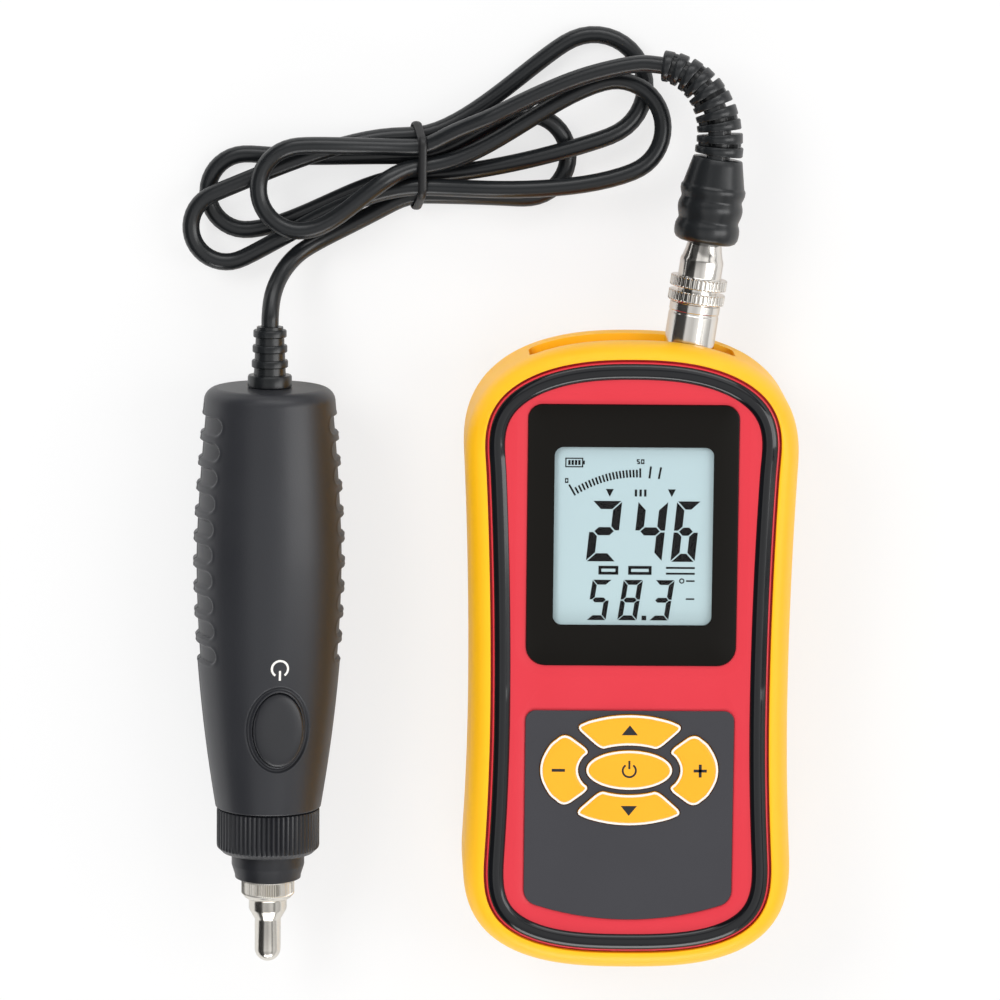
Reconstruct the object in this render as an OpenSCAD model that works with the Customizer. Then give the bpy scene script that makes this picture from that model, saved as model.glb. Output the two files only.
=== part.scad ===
// Handheld vibration meter in its protective boot, with a pen probe on a plugged lead.
// Frame: +X across the face, +Y towards the lead socket, +Z out of the face.
// Origin: centre of the flat back on which the meter rests. Lengths are in millimetres.

/* [Meter] */
// Length of the booted meter
meter_len = 165.4; // [160:0.2:175]
// Width across the shoulders
top_w = 85.6; // [82:0.2:92]
// Width at the waist
waist_w = 82.3; // [80:0.1:84]
// Width across the foot
foot_w = 84.5; // [82:0.1:90]
// Height of the waist above the middle, negative is towards the foot
waist_y = -12; // [-20:1:-4]
// Straight side ends this far from the middle, at both ends
side_reach = 50; // [46:1:54]
// Overall thickness, from the back to the top of the trim ring
meter_thick = 38; // [37:0.5:44]
// How square the shoulders are
shoulder_power = 2.4; // [2.1:0.1:3]
// How square the foot corners are
foot_power = 2.8; // [2.3:0.1:3.4]

/* [Boot] */
// Thickness of the boot's side wall
boot_wall = 3; // [2.4:0.1:3.4]
// Thickness of the boot's back
boot_back = 2.6; // [2:0.1:3.2]
// Radius of the boot's back edge
boot_back_r = 5; // [3:0.5:6]
// Width of the rounded lip that grips the face
boot_lip = 5.6; // [5:0.1:6.4]
// Height of that rounding
boot_lip_h = 8.5; // [6:0.5:10]
// How far the lip stays below the trim ring
boot_lip_drop = 1; // [0.6:0.1:1.6]
// Room between boot and case
boot_fit = 0.2; // [0.1:0.05:0.4]
// Distance from the shoulder's side to the slot in the boot's end wall
boot_slot_side = 16.3; // [15:0.1:22]
// Height of that slot
boot_slot_h = 16; // [15.6:0.2:18]

/* [Case] */
// Wall of both case shells
case_wall = 2.2; // [1.8:0.1:2.6]
// Height of the joint between the shells above the back
case_joint = 18; // [16:0.5:20]
// Radius of the case's back edge
case_back_r = 2.5; // [1.5:0.5:3]
// Depth of the step that the boot's lip fills
case_step = 2.3; // [1.8:0.1:2.6]
// Red border seen between the lip and the trim ring
case_border = 0.9; // [0.6:0.1:1.2]
// Diameter of the case screws' posts
case_post_d = 7; // [6.4:0.2:8]
// Screw places, distance in from the outline
case_screw_in = 13; // [12.5:0.1:14]
// Screw places, towards the socket
case_screw_top = 57; // [52:1:58]
// Screw places, towards the foot
case_screw_foot = -62; // [-63:1:-56]

/* [Trim ring] */
// Width of the black trim ring
ring_w = 3.8; // [3:0.1:4.4]
// Depth of its groove in the face
ring_groove = 1; // [0.6:0.1:1.4]

/* [Display] */
// Distance from the meter's side to the lens
lens_side = 14.25; // [13:0.05:17]
// Distance from the outline to the lens at its upper end
lens_shoulder = 12.95; // [12.5:0.05:16]
// Lower edge of the lens
lens_bottom = -0.9; // [-4:0.1:2]
// Upper edge of the lens
lens_top = 66.7; // [64:0.1:67]
// Thickness of the lens
lens_t = 1.3; // [1:0.1:1.5]
// How far the lens stands out of the face
lens_proud = 0.2; // [0:0.05:0.4]
// Radius of its upper corners
lens_top_r = 3.7; // [2:0.1:5]
// Radius of its lower corners
lens_foot_r = 5; // [3:0.1:6]
// Black border beside the clear picture
view_side = 6.55; // [5:0.05:8]
// Lower edge of the clear picture
view_bottom = 9.5; // [7:0.1:12]
// Upper edge of the clear picture
view_top = 55.8; // [52:0.1:57]
// Thickness of the liquid crystal glass
lcd_t = 2.2; // [1.8:0.1:2.4]
// Rim of the glass hidden round the picture
lcd_rim = 2; // [1.5:0.1:2.5]

/* [Keypad] */
// Distance from the waist's side to the keypad sheet
pad_side = 14.25; // [13:0.05:17]
// Distance from the outline to the keypad sheet at its lower corners
pad_corner = 14.9; // [13.5:0.05:17]
// Upper edge of the keypad sheet
pad_top = -12.8; // [-14:0.1:-10]
// Lower edge of the keypad sheet at the centre line
pad_foot = -67.8; // [-68.4:0.1:-64]
// Thickness of the keypad sheet
pad_t = 0.6; // [0.4:0.1:0.8]
// Radius of its curved lower edge
pad_foot_bow = 78; // [70:1:100]
// Radius of its upper corners
pad_top_r = 2.6; // [2:0.1:4]
// Radius of its lower corners
pad_foot_r = 4.2; // [3:0.1:6]
// Centre of the key cluster
key_y = -28.3; // [-30:0.1:-27]
// Distance from the sheet's side to the key cluster
cluster_side = 3.9; // [3:0.1:6]
// Half height of the key cluster
cluster_b = 14.5; // [13.5:0.1:15]
// Width of the centre key, as a share of the cluster's
key_share = 0.483; // [0.44:0.001:0.5]
// Half height of the centre key
key_b = 5.15; // [4.6:0.05:5.4]
// Height of the keys above the sheet
key_proud = 0.8; // [0.6:0.1:1.2]
// How far a key goes down
key_travel = 0.5; // [0.3:0.05:0.6]
// Room round a key in the case
key_fit = 0.25; // [0.2:0.05:0.35]

/* [Battery] */
// Length of the nine volt battery
cell_len = 48.5; // [46:0.5:49]
// Width of the battery
cell_w = 26.5; // [25:0.5:27]
// Thickness of the battery
cell_t = 17.3; // [16:0.1:17.5]
// Lower end of the battery bay
bay_foot = -66; // [-67:0.5:-64]
// Length of the battery bay
bay_len = 57; // [55:0.5:57]
// Room beside the battery
bay_fit = 0.6; // [0.4:0.1:1]
// Thickness of the battery door
door_t = 2; // [1.6:0.1:2.2]

/* [Lead plug] */
// Lean of the plug from the meter's length
plug_lean = 8; // [4:0.5:10]
// Place of the plug on the end wall, across
plug_x = 14.9; // [10:0.1:17]
// Place of the plug's datum along the meter, at the boot's end wall
plug_y = 81.4; // [80:0.1:82]
// Height of the plug's axis above the back
plug_z = 19; // [18.5:0.1:20]
// Outer diameter of the coupling sleeve
sleeve_d = 13; // [12.6:0.1:13.6]
// Diameter over the knurled rings
knurl_d = 14.6; // [14.2:0.1:15.2]
// Diameter of the plug's back shell
shell_d = 11.2; // [10.6:0.1:12]
// Outer diameter of the socket's barrel
barrel_d = 11.6; // [11.4:0.1:11.8]
// Bore of the socket's barrel
barrel_bore = 9.7; // [9.4:0.1:9.9]
// Diameter of the rubber boot at its bulges
grip_d = 16.8; // [16:0.1:18]
// Length of the curved bend relief
relief_len = 31; // [28:0.5:38]
// Angle through which the relief has curled
relief_turn = 92; // [60:1:100]
// Number of segments in the relief
relief_count = 10; // [8:1:11]

/* [Cord] */
// Diameter of the cord
cord_d = 4.5; // [4.3:0.1:4.6]
// Step between strands in the tied bundle
cord_step = 5.1; // [5:0.05:5.3]
// Width of the tie along the bundle
tie_w = 2.2; // [1.8:0.1:3]
// Thickness of the tie
tie_t = 1.1; // [0.8:0.1:1.2]

/* [Probe] */
// Distance of the probe's axis from the meter's centre line, to the left
probe_x = -93.3; // [-98:0.1:-90]
// Largest diameter of the probe body
probe_d = 39.2; // [36:0.2:40]
// Diameter where the body meets the nose collar
probe_foot_d = 27.4; // [26.8:0.1:28.2]
// Diameter at the shoulder
probe_top_d = 34; // [32:0.2:35]
// End of the body at the cord
probe_top = 68.3; // [66:0.1:70]
// End of the body at the nose collar
probe_foot = -42; // [-43:0.5:-40]
// Widest place of the body
probe_belly = 24; // [20:1:28]
// Angle by which the probe has rolled towards the meter
probe_roll = 10; // [0:1:20]
// Wall of the probe's shells
probe_wall = 2.2; // [1.8:0.1:2.6]
// Number of finger grooves on each side
groove_count = 10; // [8:1:10]
// Step between finger grooves
groove_step = 6.6; // [6.2:0.1:6.7]
// Width of a finger groove
groove_w = 4.5; // [4:0.1:4.8]
// Depth of a finger groove
groove_deep = 0.8; // [0.5:0.1:1]
// Half width of the button
button_a = 6.5; // [5.5:0.1:7]
// Half length of the button
button_b = 9.8; // [8.5:0.1:10.5]
// How far the button goes in
button_travel = 0.8; // [0.5:0.1:1]

/* [Nose] */
// Diameter of the ribbed collar
collar_d = 26.8; // [26.2:0.1:27.2]
// Length of the ribbed collar
collar_len = 12; // [11:0.5:13]
// Ribs round the collar
collar_ribs = 64; // [48:4:72]
// Diameter of the black nose
nose_d = 19; // [18:0.1:20]
// End of the nose, along the probe
nose_end = -61; // [-62:0.2:-60]
// Diameter of the knurled metal ring
tip_ring_d = 13.8; // [13:0.1:14.4]
// Diameter of the contact rod
tip_d = 6.8; // [6:0.1:7]
// Far end of the contact rod
tip_end = -83.4; // [-85:0.1:-82]

/* [Hidden] */
$fn = 64;

// Overrun of every cut past the face that it leaves
cut = 1;
// Faces that would only touch are kept this far apart
seat = 0.05;

// Derived heights of the meter
ring_inset = boot_lip + case_border;
face_z = meter_thick - ring_groove;
lip_z = meter_thick - boot_lip_drop;
step_z = face_z - case_step;
case_inset = boot_wall + boot_fit;
case_back = boot_back;
raised_inset = boot_lip + 2 * boot_fit;
face_t = 2.4;
face_inner = face_z - face_t;
pad_proud = 0.2;
pad_z = face_z + pad_proud;

// Outline of the meter, as one closed curve walked counterclockwise from the foot
corner_steps = 9;
side_steps = 6;
half_len = meter_len / 2;
function side_half(y) =
    let (above = y > waist_y,
         swell = (above ? top_w - waist_w : foot_w - waist_w) / 2,
         reach = above ? side_reach - waist_y : side_reach + waist_y)
    waist_w / 2 + swell * pow((y - waist_y) / reach, 2);
function corner_point(a, power, end) =
    let (y = end * (side_reach + (half_len - side_reach) * pow(sin(a), 2 / power)))
    [side_half(y) * pow(cos(a), 2 / power), y];
right_side = concat(
    [for (i = [0 : corner_steps]) corner_point(90 - 90 * i / corner_steps, foot_power, -1)],
    [for (j = [1 : side_steps - 1])
        let (y = side_reach * (2 * j / side_steps - 1)) [side_half(y), y]],
    [for (i = [0 : corner_steps]) corner_point(90 * i / corner_steps, shoulder_power, 1)]);
outline = concat(right_side,
    [for (i = [len(right_side) - 2 : -1 : 1]) [-right_side[i][0], right_side[i][1]]]);

// Half the meter's width at any height, round corners included
function outline_half(y) =
    let (power = y > 0 ? shoulder_power : foot_power,
         rise = max(abs(y) - side_reach, 0) / (half_len - side_reach))
    side_half(y) * pow(1 - pow(rise, power), 1 / power);

// The outline drawn in by a distance, each point along its own normal
function inset(d) =
    [for (i = [0 : len(outline) - 1])
        let (n = len(outline), a = outline[(i + n - 1) % n], b = outline[(i + 1) % n],
             t = (b - a) / norm(b - a))
        outline[i] + d * [-t[1], t[0]]];
function lift(points, z) = [for (p = points) [p[0], p[1], z]];

// A closed skin over a stack of rings, each with the same number of points
module skin(rings) {
    n = len(rings[0]);
    last = (len(rings) - 1) * n;
    polyhedron(
        points = [for (r = rings) each r],
        faces = concat(
            [[for (j = [0 : n - 1]) j]],
            [for (i = [0 : len(rings) - 2]) for (j = [0 : n - 1]) for (half = [0, 1])
                let (k = (j + 1) % n, a = i * n + j, b = i * n + k)
                half == 0 ? [a, a + n, b + n] : [a, b + n, b]],
            [[for (j = [n - 1 : -1 : 0]) last + j]]),
        convexity = 6);
}
module slab(d, z0, z1) translate([0, 0, z0]) linear_extrude(z1 - z0) polygon(inset(d));

// Points of an arc, and an outline with a round corner at each of its points
function arc(c, r, from, to, steps) =
    [for (i = [0 : steps]) let (a = from + (to - from) * i / steps) c + r * [cos(a), sin(a)]];
function round_box(w, y0, y1, r0, r1) = concat(
    arc([w / 2 - r0, y0 + r0], r0, -90, 0, 6), arc([w / 2 - r1, y1 - r1], r1, 0, 90, 6),
    arc([r1 - w / 2, y1 - r1], r1, 90, 180, 6), arc([r0 - w / 2, y0 + r0], r0, 180, 270, 6));
function ellipse(a, b, steps) =
    [for (i = [0 : steps - 1]) let (t = 360 * i / steps) [a * cos(t), b * sin(t)]];
module plate(points, z0, z1) translate([0, 0, z0]) linear_extrude(z1 - z0) polygon(points);

// The boot
boot_slot_w = top_w - 2 * boot_slot_side;
boot_window_side = 3.55;
boot_window_gap = 3;
boot_steps = 4;
module holster() {
    back_rings = [for (i = [0 : boot_steps]) let (a = 90 * i / boot_steps)
        lift(inset(boot_back_r * (1 - sin(a))), boot_back_r * (1 - cos(a)))];
    lip_rings = [for (i = [0 : boot_steps + 1]) let (a = 90 * i / (boot_steps + 1))
        lift(inset(boot_lip * (1 - cos(a))), lip_z - boot_lip_h * (1 - sin(a)))];
    color("#FFBE14") difference() {
        skin(concat(back_rings, lip_rings));
        slab(boot_wall, boot_back, step_z + boot_fit);
        slab(boot_lip, step_z, meter_thick + cut);
        translate([-door_half - boot_window_side, bay_foot - boot_window_gap, -cut])
            cube([2 * (door_half + boot_window_side), bay_len + 2 * boot_window_gap,
                boot_back + 2 * cut]);
        boot_slot();
    }
}
// Opening in the boot's end wall, through which the plug reaches the socket
module boot_slot() {
    r = boot_slot_h / 2;
    translate([0, side_reach, plug_z]) rotate([-90, 0, 0]) linear_extrude(half_len) {
        square([boot_slot_w - boot_slot_h, boot_slot_h], center = true);
        for (side = [-1, 1]) translate([side * (boot_slot_w / 2 - r), 0]) circle(r);
    }
}

// Screw places shared by both shells, the screws and the board
case_screw_r = 1.45;
case_screw_head_r = 2.8;
case_screw_head_t = 2;
case_screw_reach = 24;
screw_gap = 0.05;
module at_case_screws()
    for (side = [-1, 1]) for (y = [case_screw_top, case_screw_foot])
        translate([side * (outline_half(y) - case_screw_in), y, 0]) children();

board_t = 1.6;
board_inset = 8;
board_drop = 3.7;
board_top = face_inner - board_drop;
board_back = board_top - board_t;
board_screw_in = 17;
board_screw_top = 62;
board_screw_foot = -70;
board_screw_r = 1;
board_screw_head_r = 1.9;
board_screw_head_t = 1.3;
board_screw_reach = 2.8;
board_post_r = 2.4;
module at_board_screws()
    for (side = [-1, 1]) for (y = [board_screw_top, board_screw_foot])
        translate([side * (outline_half(y) - board_screw_in), y, 0]) children();

module front_case() {
    groove_in = ring_inset + ring_w;
    color("#E84A5A") difference() {
        union() {
            difference() {
                union() {
                    slab(case_inset, case_joint, step_z);
                    slab(raised_inset, step_z - seat, face_z);
                }
                slab(case_inset + case_wall, case_joint - cut, step_z - case_wall);
                slab(raised_inset + case_wall, case_joint, face_inner);
            }
            at_case_screws() translate([0, 0, case_joint])
                cylinder(h = face_inner - case_joint + seat, d = case_post_d);
            at_board_screws() translate([0, 0, board_top])
                cylinder(h = face_inner - board_top + seat, r = board_post_r);
            socket_pad(case_joint, face_inner);
        }
        difference() {
            slab(ring_inset, face_z - ring_groove, face_z + cut);
            slab(groove_in, face_z - ring_groove - cut, face_z + 2 * cut);
        }
        plate(round_box(lens_w + 2 * lens_fit, lens_bottom - lens_fit, lens_top + lens_fit,
            lens_foot_r, lens_top_r), lens_z - lens_t, face_z + cut);
        plate(round_box(frame_w + 2 * lens_fit, frame_foot - lens_fit, frame_head + lens_fit,
            lens_fit, lens_fit), case_joint, face_z + cut);
        plate(pad_outline(lens_fit), pad_z - pad_t, face_z + cut);
        for (key = key_shapes) plate(key_outline(key, key_fit), case_joint, face_z + cut);
        at_case_screws() translate([0, 0, case_joint - cut])
            cylinder(h = case_screw_reach - case_joint + 2 * cut, r = case_screw_r + screw_gap);
        at_board_screws() translate([0, 0, board_top - cut])
            cylinder(h = board_screw_reach + cut, r = board_screw_r + screw_gap);
        socket_hole();
    }
}

// Rear shell with the battery bay and the door's seat
bay_wall = 1.5;
bay_half = cell_w / 2 + bay_fit;
bay_roof = case_back + door_t + bay_fit + cell_t + bay_fit;
bay_top = bay_foot + bay_len;
door_rest = 1.6;
door_fit = 0.3;
door_half = bay_half + door_rest;
hinge_r = 1;
hinge_gap = 0.06;
hinge_len = 1.2;
hinge_lift = 0.2;
hinge_in = 0.4;
hinge_z = case_back + hinge_r + hinge_lift;
hinge_y = bay_foot + hinge_r + hinge_in;
seat_foot = bay_foot + 2 * hinge_r;
// The door's wide part starts where it can turn past the end of its seat
door_wing_y = hinge_y + norm([seat_foot - hinge_y, hinge_z - case_back]) + door_fit / 2;
module rear_case() {
    steps = 3;
    back_rings = [for (i = [0 : steps]) let (a = 90 * i / steps)
        lift(inset(case_inset + case_back_r * (1 - sin(a))),
            case_back + case_back_r * (1 - cos(a)))];
    color("#D9414F") difference() {
        union() {
            difference() {
                skin(concat(back_rings, [lift(inset(case_inset), case_joint)]));
                slab(case_inset + case_wall, case_back + case_wall, case_joint + cut);
            }
            translate([-bay_half - bay_wall, bay_foot - bay_wall, case_back + case_wall - seat])
                cube([2 * (bay_half + bay_wall), bay_len + 2 * bay_wall,
                    bay_roof + bay_wall - case_back - case_wall + seat]);
            at_case_screws() translate([0, 0, case_back + case_wall - seat])
                cylinder(h = case_joint - case_back - case_wall + seat, d = case_post_d);
            socket_pad(case_back + case_wall, case_joint);
        }
        translate([-bay_half, bay_foot, case_back - cut])
            cube([2 * bay_half, bay_len, bay_roof - case_back + cut]);
        translate([-door_half - door_fit, seat_foot, case_back - cut])
            cube([2 * (door_half + door_fit), bay_top - seat_foot + door_rest + door_fit,
                door_t + cut + seat]);
        translate([-bay_half - hinge_len, hinge_y, hinge_z]) rotate([0, 90, 0])
            cylinder(h = 2 * (bay_half + hinge_len), r = hinge_r + hinge_gap);
        at_case_screws() {
            translate([0, 0, case_back - cut])
                cylinder(h = case_screw_head_t + cut + seat, r = case_screw_head_r + screw_gap);
            cylinder(h = case_joint + cut, r = case_screw_r + screw_gap);
        }
        socket_hole();
    }
}

// Hinged battery door with two hinge pins at its foot end
module battery_door() {
    color("#D9414F") {
        difference() {
            union() {
                translate([-door_half, door_wing_y, case_back])
                    cube([2 * door_half, bay_top + door_rest - door_wing_y, door_t]);
                translate([door_fit - bay_half, hinge_y, case_back])
                    cube([2 * (bay_half - door_fit), 3 * hinge_r, door_t]);
                translate([-bay_half - hinge_len + seat, hinge_y, hinge_z]) rotate([0, 90, 0])
                    cylinder(h = 2 * (bay_half + hinge_len - seat), r = hinge_r);
            }
            for (i = [0 : door_grips - 1])
                translate([-door_grip_w / 2, bay_top - door_grip_gap - 2 * i * door_grip_deep,
                    case_back - cut])
                    cube([door_grip_w, door_grip_deep, cut + door_grip_deep / 2]);
        }
    }
}
door_grips = 5;
door_grip_w = 12;
door_grip_deep = 1;
door_grip_gap = 4;

module battery() {
    y0 = bay_foot + bay_fit + seat;
    z0 = case_back + door_t + bay_fit;
    terminal_r = [3.6, 2.8];
    color("#3C4248") {
        translate([-cell_w / 2, y0, z0]) cube([cell_w, cell_len - cell_terminal, cell_t]);
        for (i = [0, 1])
            translate([(i == 0 ? -1 : 1) * cell_pitch / 2, y0 + cell_len - cell_terminal,
                z0 + cell_t / 2])
                rotate([-90, 0, 0]) cylinder(h = cell_terminal, r = terminal_r[i]);
    }
}
cell_terminal = 2.5;
cell_pitch = 12.7;
module battery_snap() {
    y0 = bay_foot + bay_fit + seat + cell_len;
    z0 = case_back + door_t + bay_fit;
    color("#1C1C1E") translate([-cell_w / 2 + bay_fit, y0, z0 + bay_fit])
        cube([cell_w - 2 * bay_fit, bay_top - y0 - snap_rest, cell_t - 2 * bay_fit]);
}
snap_rest = 0.2;

module case_screws() color("#9A9CA0") at_case_screws() {
    translate([0, 0, case_back + seat]) difference() {
        union() {
            cylinder(h = case_screw_head_t - seat, r = case_screw_head_r);
            cylinder(h = case_screw_reach - case_back, r = case_screw_r);
        }
        translate([0, 0, -cut]) cross_slot(case_screw_head_r, case_screw_head_t / 2 + cut);
    }
}
module cross_slot(r, deep) for (turn = [0, 90]) rotate([0, 0, turn])
    translate([-r / 2, -r / 8, 0]) cube([r, r / 4, deep]);

// Trim ring: a half-round bead in the groove of the face
module trim_ring() {
    steps = 5;
    base = face_z - ring_groove;
    rise = meter_thick - face_z;
    inner = ring_inset + ring_w - seat;
    outer = ring_inset + seat;
    mid = (inner + outer) / 2;
    half = (inner - outer) / 2;
    crown = [for (i = [0 : steps]) let (a = 90 * i / steps)
        [half * (1 - cos(a)), face_z + rise * sin(a)]];
    color("#23262B") difference() {
        skin(concat([lift(inset(outer), base)], [for (c = crown) lift(inset(outer + c[0]), c[1])]));
        skin(concat([lift(inset(inner), base - cut)],
            [for (c = crown) lift(inset(inner - c[0] * ring_open_share), c[1])],
            [lift(inset(mid), meter_thick + cut)]));
    }
}
ring_open_share = 0.98;

// Display: lens, glass, its frame, light and contact strips
lens_fit = 0.15;
lens_under = 0.15;
lens_z = face_z + lens_proud;
lens_w = 2 * min(side_half(lens_bottom) - lens_side, outline_half(lens_top) - lens_shoulder);
view_w = lens_w - 2 * view_side;
lcd_top = lens_z - lens_t - lens_under;
lcd_w = view_w + 2 * lcd_rim;
lcd_foot = view_bottom - lcd_rim;
lcd_head = view_top + lcd_rim;
frame_wall = 1.2;
frame_w = lcd_w + 2 * frame_wall;
frame_foot = lcd_foot - frame_wall;
frame_head = lcd_head + frame_wall;
light_t = 1;
module display_lens() color("#1E1B18", 0.9)
    plate(round_box(lens_w, lens_bottom, lens_top, lens_foot_r, lens_top_r),
        lens_z - lens_t + seat, lens_z);
module lcd_glass() color("#C9DCE6")
    translate([-lcd_w / 2, lcd_foot, lcd_top - lcd_t]) cube([lcd_w, lcd_head - lcd_foot, lcd_t]);
module lcd_frame() color("#E8E8E4") difference() {
    translate([-frame_w / 2, frame_foot, board_top])
        cube([frame_w, frame_head - frame_foot, lcd_top - board_top]);
    translate([-lcd_w / 2 - seat, lcd_foot - seat, board_top - cut])
        cube([lcd_w + 2 * seat, lcd_head - lcd_foot + 2 * seat, lcd_top - board_top + 2 * cut]);
}
strip_w = 2.4;
module contact_strips() color("#D98AA0")
    for (y = [lcd_foot, lcd_head - strip_w])
        translate([-lcd_w / 2 + strip_w, y, board_top])
            cube([lcd_w - 2 * strip_w, strip_w, lcd_top - lcd_t - board_top]);
module backlight() color("#F2F4F0")
    translate([-lcd_w / 2, lcd_foot + strip_w + seat, lcd_top - lcd_t - light_t])
        cube([lcd_w, lcd_head - lcd_foot - 2 * (strip_w + seat), light_t]);

// Keypad: five keys in an ellipse, cut apart by gaps of one width
key_shapes = ["centre", "top", "bottom", "left", "right"];
key_steps = 6;
side_key_steps = 5;
pad_w = 2 * min(side_half(waist_y) - pad_side, outline_half(pad_foot + pad_foot_r) - pad_corner);
cluster_a = pad_w / 2 - cluster_side;
key_a = key_share * cluster_a;
// Ends of the outer keys, as angles of the cluster's ellipse
top_span = 38;
side_span = 43;
top_inner_span = 34;
side_inner_span = 40;
// Inner edge of the outer keys follows the centre key, with a wider gap at its ends
halo_a = 2.1;
top_halo_b = 1.35;
side_halo_b = 2.6;
key_corner_r = 2.2;
function pad_outline(grow) =
    let (half = pad_w / 2 + grow, r = pad_foot_r, bow = pad_foot_bow + grow,
         centre_y = pad_foot + pad_foot_bow,
         turn = asin((half - r) / (bow - r)),
         corner = [half - r, centre_y - (bow - r) * cos(turn)],
         foot_right = arc(corner, r, turn - 90, 0, 5),
         foot_edge = arc([0, centre_y], bow, turn - 90, -turn - 90, 12))
    concat(foot_right,
        arc([half - pad_top_r, pad_top + grow - pad_top_r], pad_top_r, 0, 90, 5),
        arc([pad_top_r - half, pad_top + grow - pad_top_r], pad_top_r, 90, 180, 5),
        [for (p = [for (i = [len(foot_right) - 1 : -1 : 0]) foot_right[i]]) [-p[0], p[1]]],
        [for (i = [len(foot_edge) - 2 : -1 : 1]) foot_edge[i]]);
function on_ellipse(a, b, t) = [a * cos(t), b * sin(t)];
// A closed outline moved outwards by a distance, for the room round a key
function grown(points, d) =
    [for (i = [0 : len(points) - 1])
        let (n = len(points), a = points[(i + n - 1) % n], b = points[(i + 1) % n],
             t = (b - a) / norm(b - a))
        points[i] + d * [t[1], -t[0]]];
// One outer key between two rays, its four corners rounded by cubic curves
function key_ring(mid, span, inner_span, halo_b, steps) =
    let (outer = [for (i = [0 : steps]) on_ellipse(cluster_a, cluster_b,
             mid - span + 2 * span * i / steps)],
         inner = [for (i = [steps : -1 : 0]) on_ellipse(key_a + halo_a, key_b + halo_b,
             mid - inner_span + 2 * inner_span * i / steps)])
    rounded(concat(outer, inner), [0, steps, steps + 1, 2 * steps + 1], key_corner_r);
function rounded(points, corners, r) =
    [for (i = [0 : len(points) - 1])
        each (len([for (c = corners) if (c == i) c]) == 0 ? [points[i]] :
            let (n = len(points), p = points[i],
                 u = points[(i + n - 1) % n] - p, v = points[(i + 1) % n] - p,
                 a = p + u * min(r / norm(u), 0.45), b = p + v * min(r / norm(v), 0.45))
            [for (s = [0 : 0.25 : 1]) (1 - s) * (1 - s) * a + 2 * s * (1 - s) * p + s * s * b])];
function key_base(key) =
    key == "centre" ? ellipse(key_a, key_b, 32) :
    key == "top" ? key_ring(90, top_span, top_inner_span, top_halo_b, key_steps) :
    key == "bottom" ? key_ring(270, top_span, top_inner_span, top_halo_b, key_steps) :
    key == "right" ? key_ring(0, side_span, side_inner_span, side_halo_b, side_key_steps) :
    key_ring(180, side_span, side_inner_span, side_halo_b, side_key_steps);
function key_outline(key, grow) =
    [for (p = grown(key_base(key), grow)) p + [0, key_y]];

// A key: domed cap, straight body, and a flange that stops it under the face
key_flange = 0.7;
key_flange_t = 0.8;
key_lift = 0.15;
key_dome = 0.45;
key_edge = 0.4;
key_bottom_z = face_inner - key_lift - key_flange_t;
module one_key(key) {
    top = pad_z + key_proud;
    color("#FDBE3C") {
        plate(key_outline(key, 0), key_bottom_z + key_flange_t - seat, top - key_dome);
        plate(key_outline(key, -key_edge / 3), top - key_dome - seat, top - key_dome / 3);
        plate(key_outline(key, -key_edge), top - key_dome / 3 - seat, top);
        plate(key_outline(key, key_flange * flange_share(key)), key_bottom_z,
            key_bottom_z + key_flange_t);
    }
}
// The flanges are narrower where two outer keys meet
function flange_share(key) = key == "centre" ? 1 : 0.5;
module key_top() one_key("top");
module key_left() one_key("left");
module key_centre() one_key("centre");
module key_right() one_key("right");
module key_bottom() one_key("bottom");
module keypad_sheet() color("#444448") difference() {
    plate(pad_outline(0), pad_z - pad_t + seat, pad_z);
    for (key = key_shapes) plate(key_outline(key, key_fit), pad_z - pad_t - cut, pad_z + cut);
}

// Metal domes under the keys
dome_r = 3;
dome_places = [[0, 0], [0, 1], [0, -1], [-1, 0], [1, 0]];
dome_reach_x = (key_a + halo_a + cluster_a) / 2;
dome_reach_y = (key_b + top_halo_b + cluster_b) / 2;
dome_h = key_bottom_z - board_top - key_travel - seat;
dome_foot_h = dome_h / 2;
module dome_switches() color("#C8CACC")
    for (p = dome_places) translate([p[0] * dome_reach_x, key_y + p[1] * dome_reach_y, board_top]) {
        cylinder(h = dome_foot_h, r = dome_r);
        translate([0, 0, dome_foot_h - seat]) cylinder(h = dome_h - dome_foot_h + seat, r = dome_r / 2);
    }

module main_board() color("#1F6B45") difference() {
    slab(board_inset, board_back, board_top);
    at_case_screws() translate([0, 0, board_back - cut])
        cylinder(h = board_t + 2 * cut, d = case_post_d + 2 * boot_fit);
    at_board_screws() translate([0, 0, board_back - cut])
        cylinder(h = board_t + 2 * cut, r = board_screw_r + screw_gap);
}
chip_w = 12;
chip_t = 1.6;
chip_y = 30;
module main_chip() color("#202225")
    translate([-chip_w / 2, chip_y, board_back - chip_t]) cube([chip_w, chip_w, chip_t]);
module board_screws() color("#B8BABD") at_board_screws() {
    translate([0, 0, board_back - board_screw_head_t])
        cylinder(h = board_screw_head_t, r = board_screw_head_r);
    translate([0, 0, board_back - seat])
        cylinder(h = board_t + board_screw_reach - seat, r = board_screw_r);
}

// Places along the plug's axis, from its datum at the boot's end wall outwards
module on_plug_axis() translate([plug_x, plug_y, plug_z]) rotate([0, 0, -plug_lean])
    rotate([-90, 0, 0]) children();
function from_plug_axis(p) =
    let (x = p[0], y = p[2], z = -p[1], c = cos(plug_lean), s = sin(plug_lean))
    [plug_x + x * c + y * s, plug_y - x * s + y * c, plug_z + z];
function from_plug_turn(p) = from_plug_axis(p) - from_plug_axis([0, 0, 0]);

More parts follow.
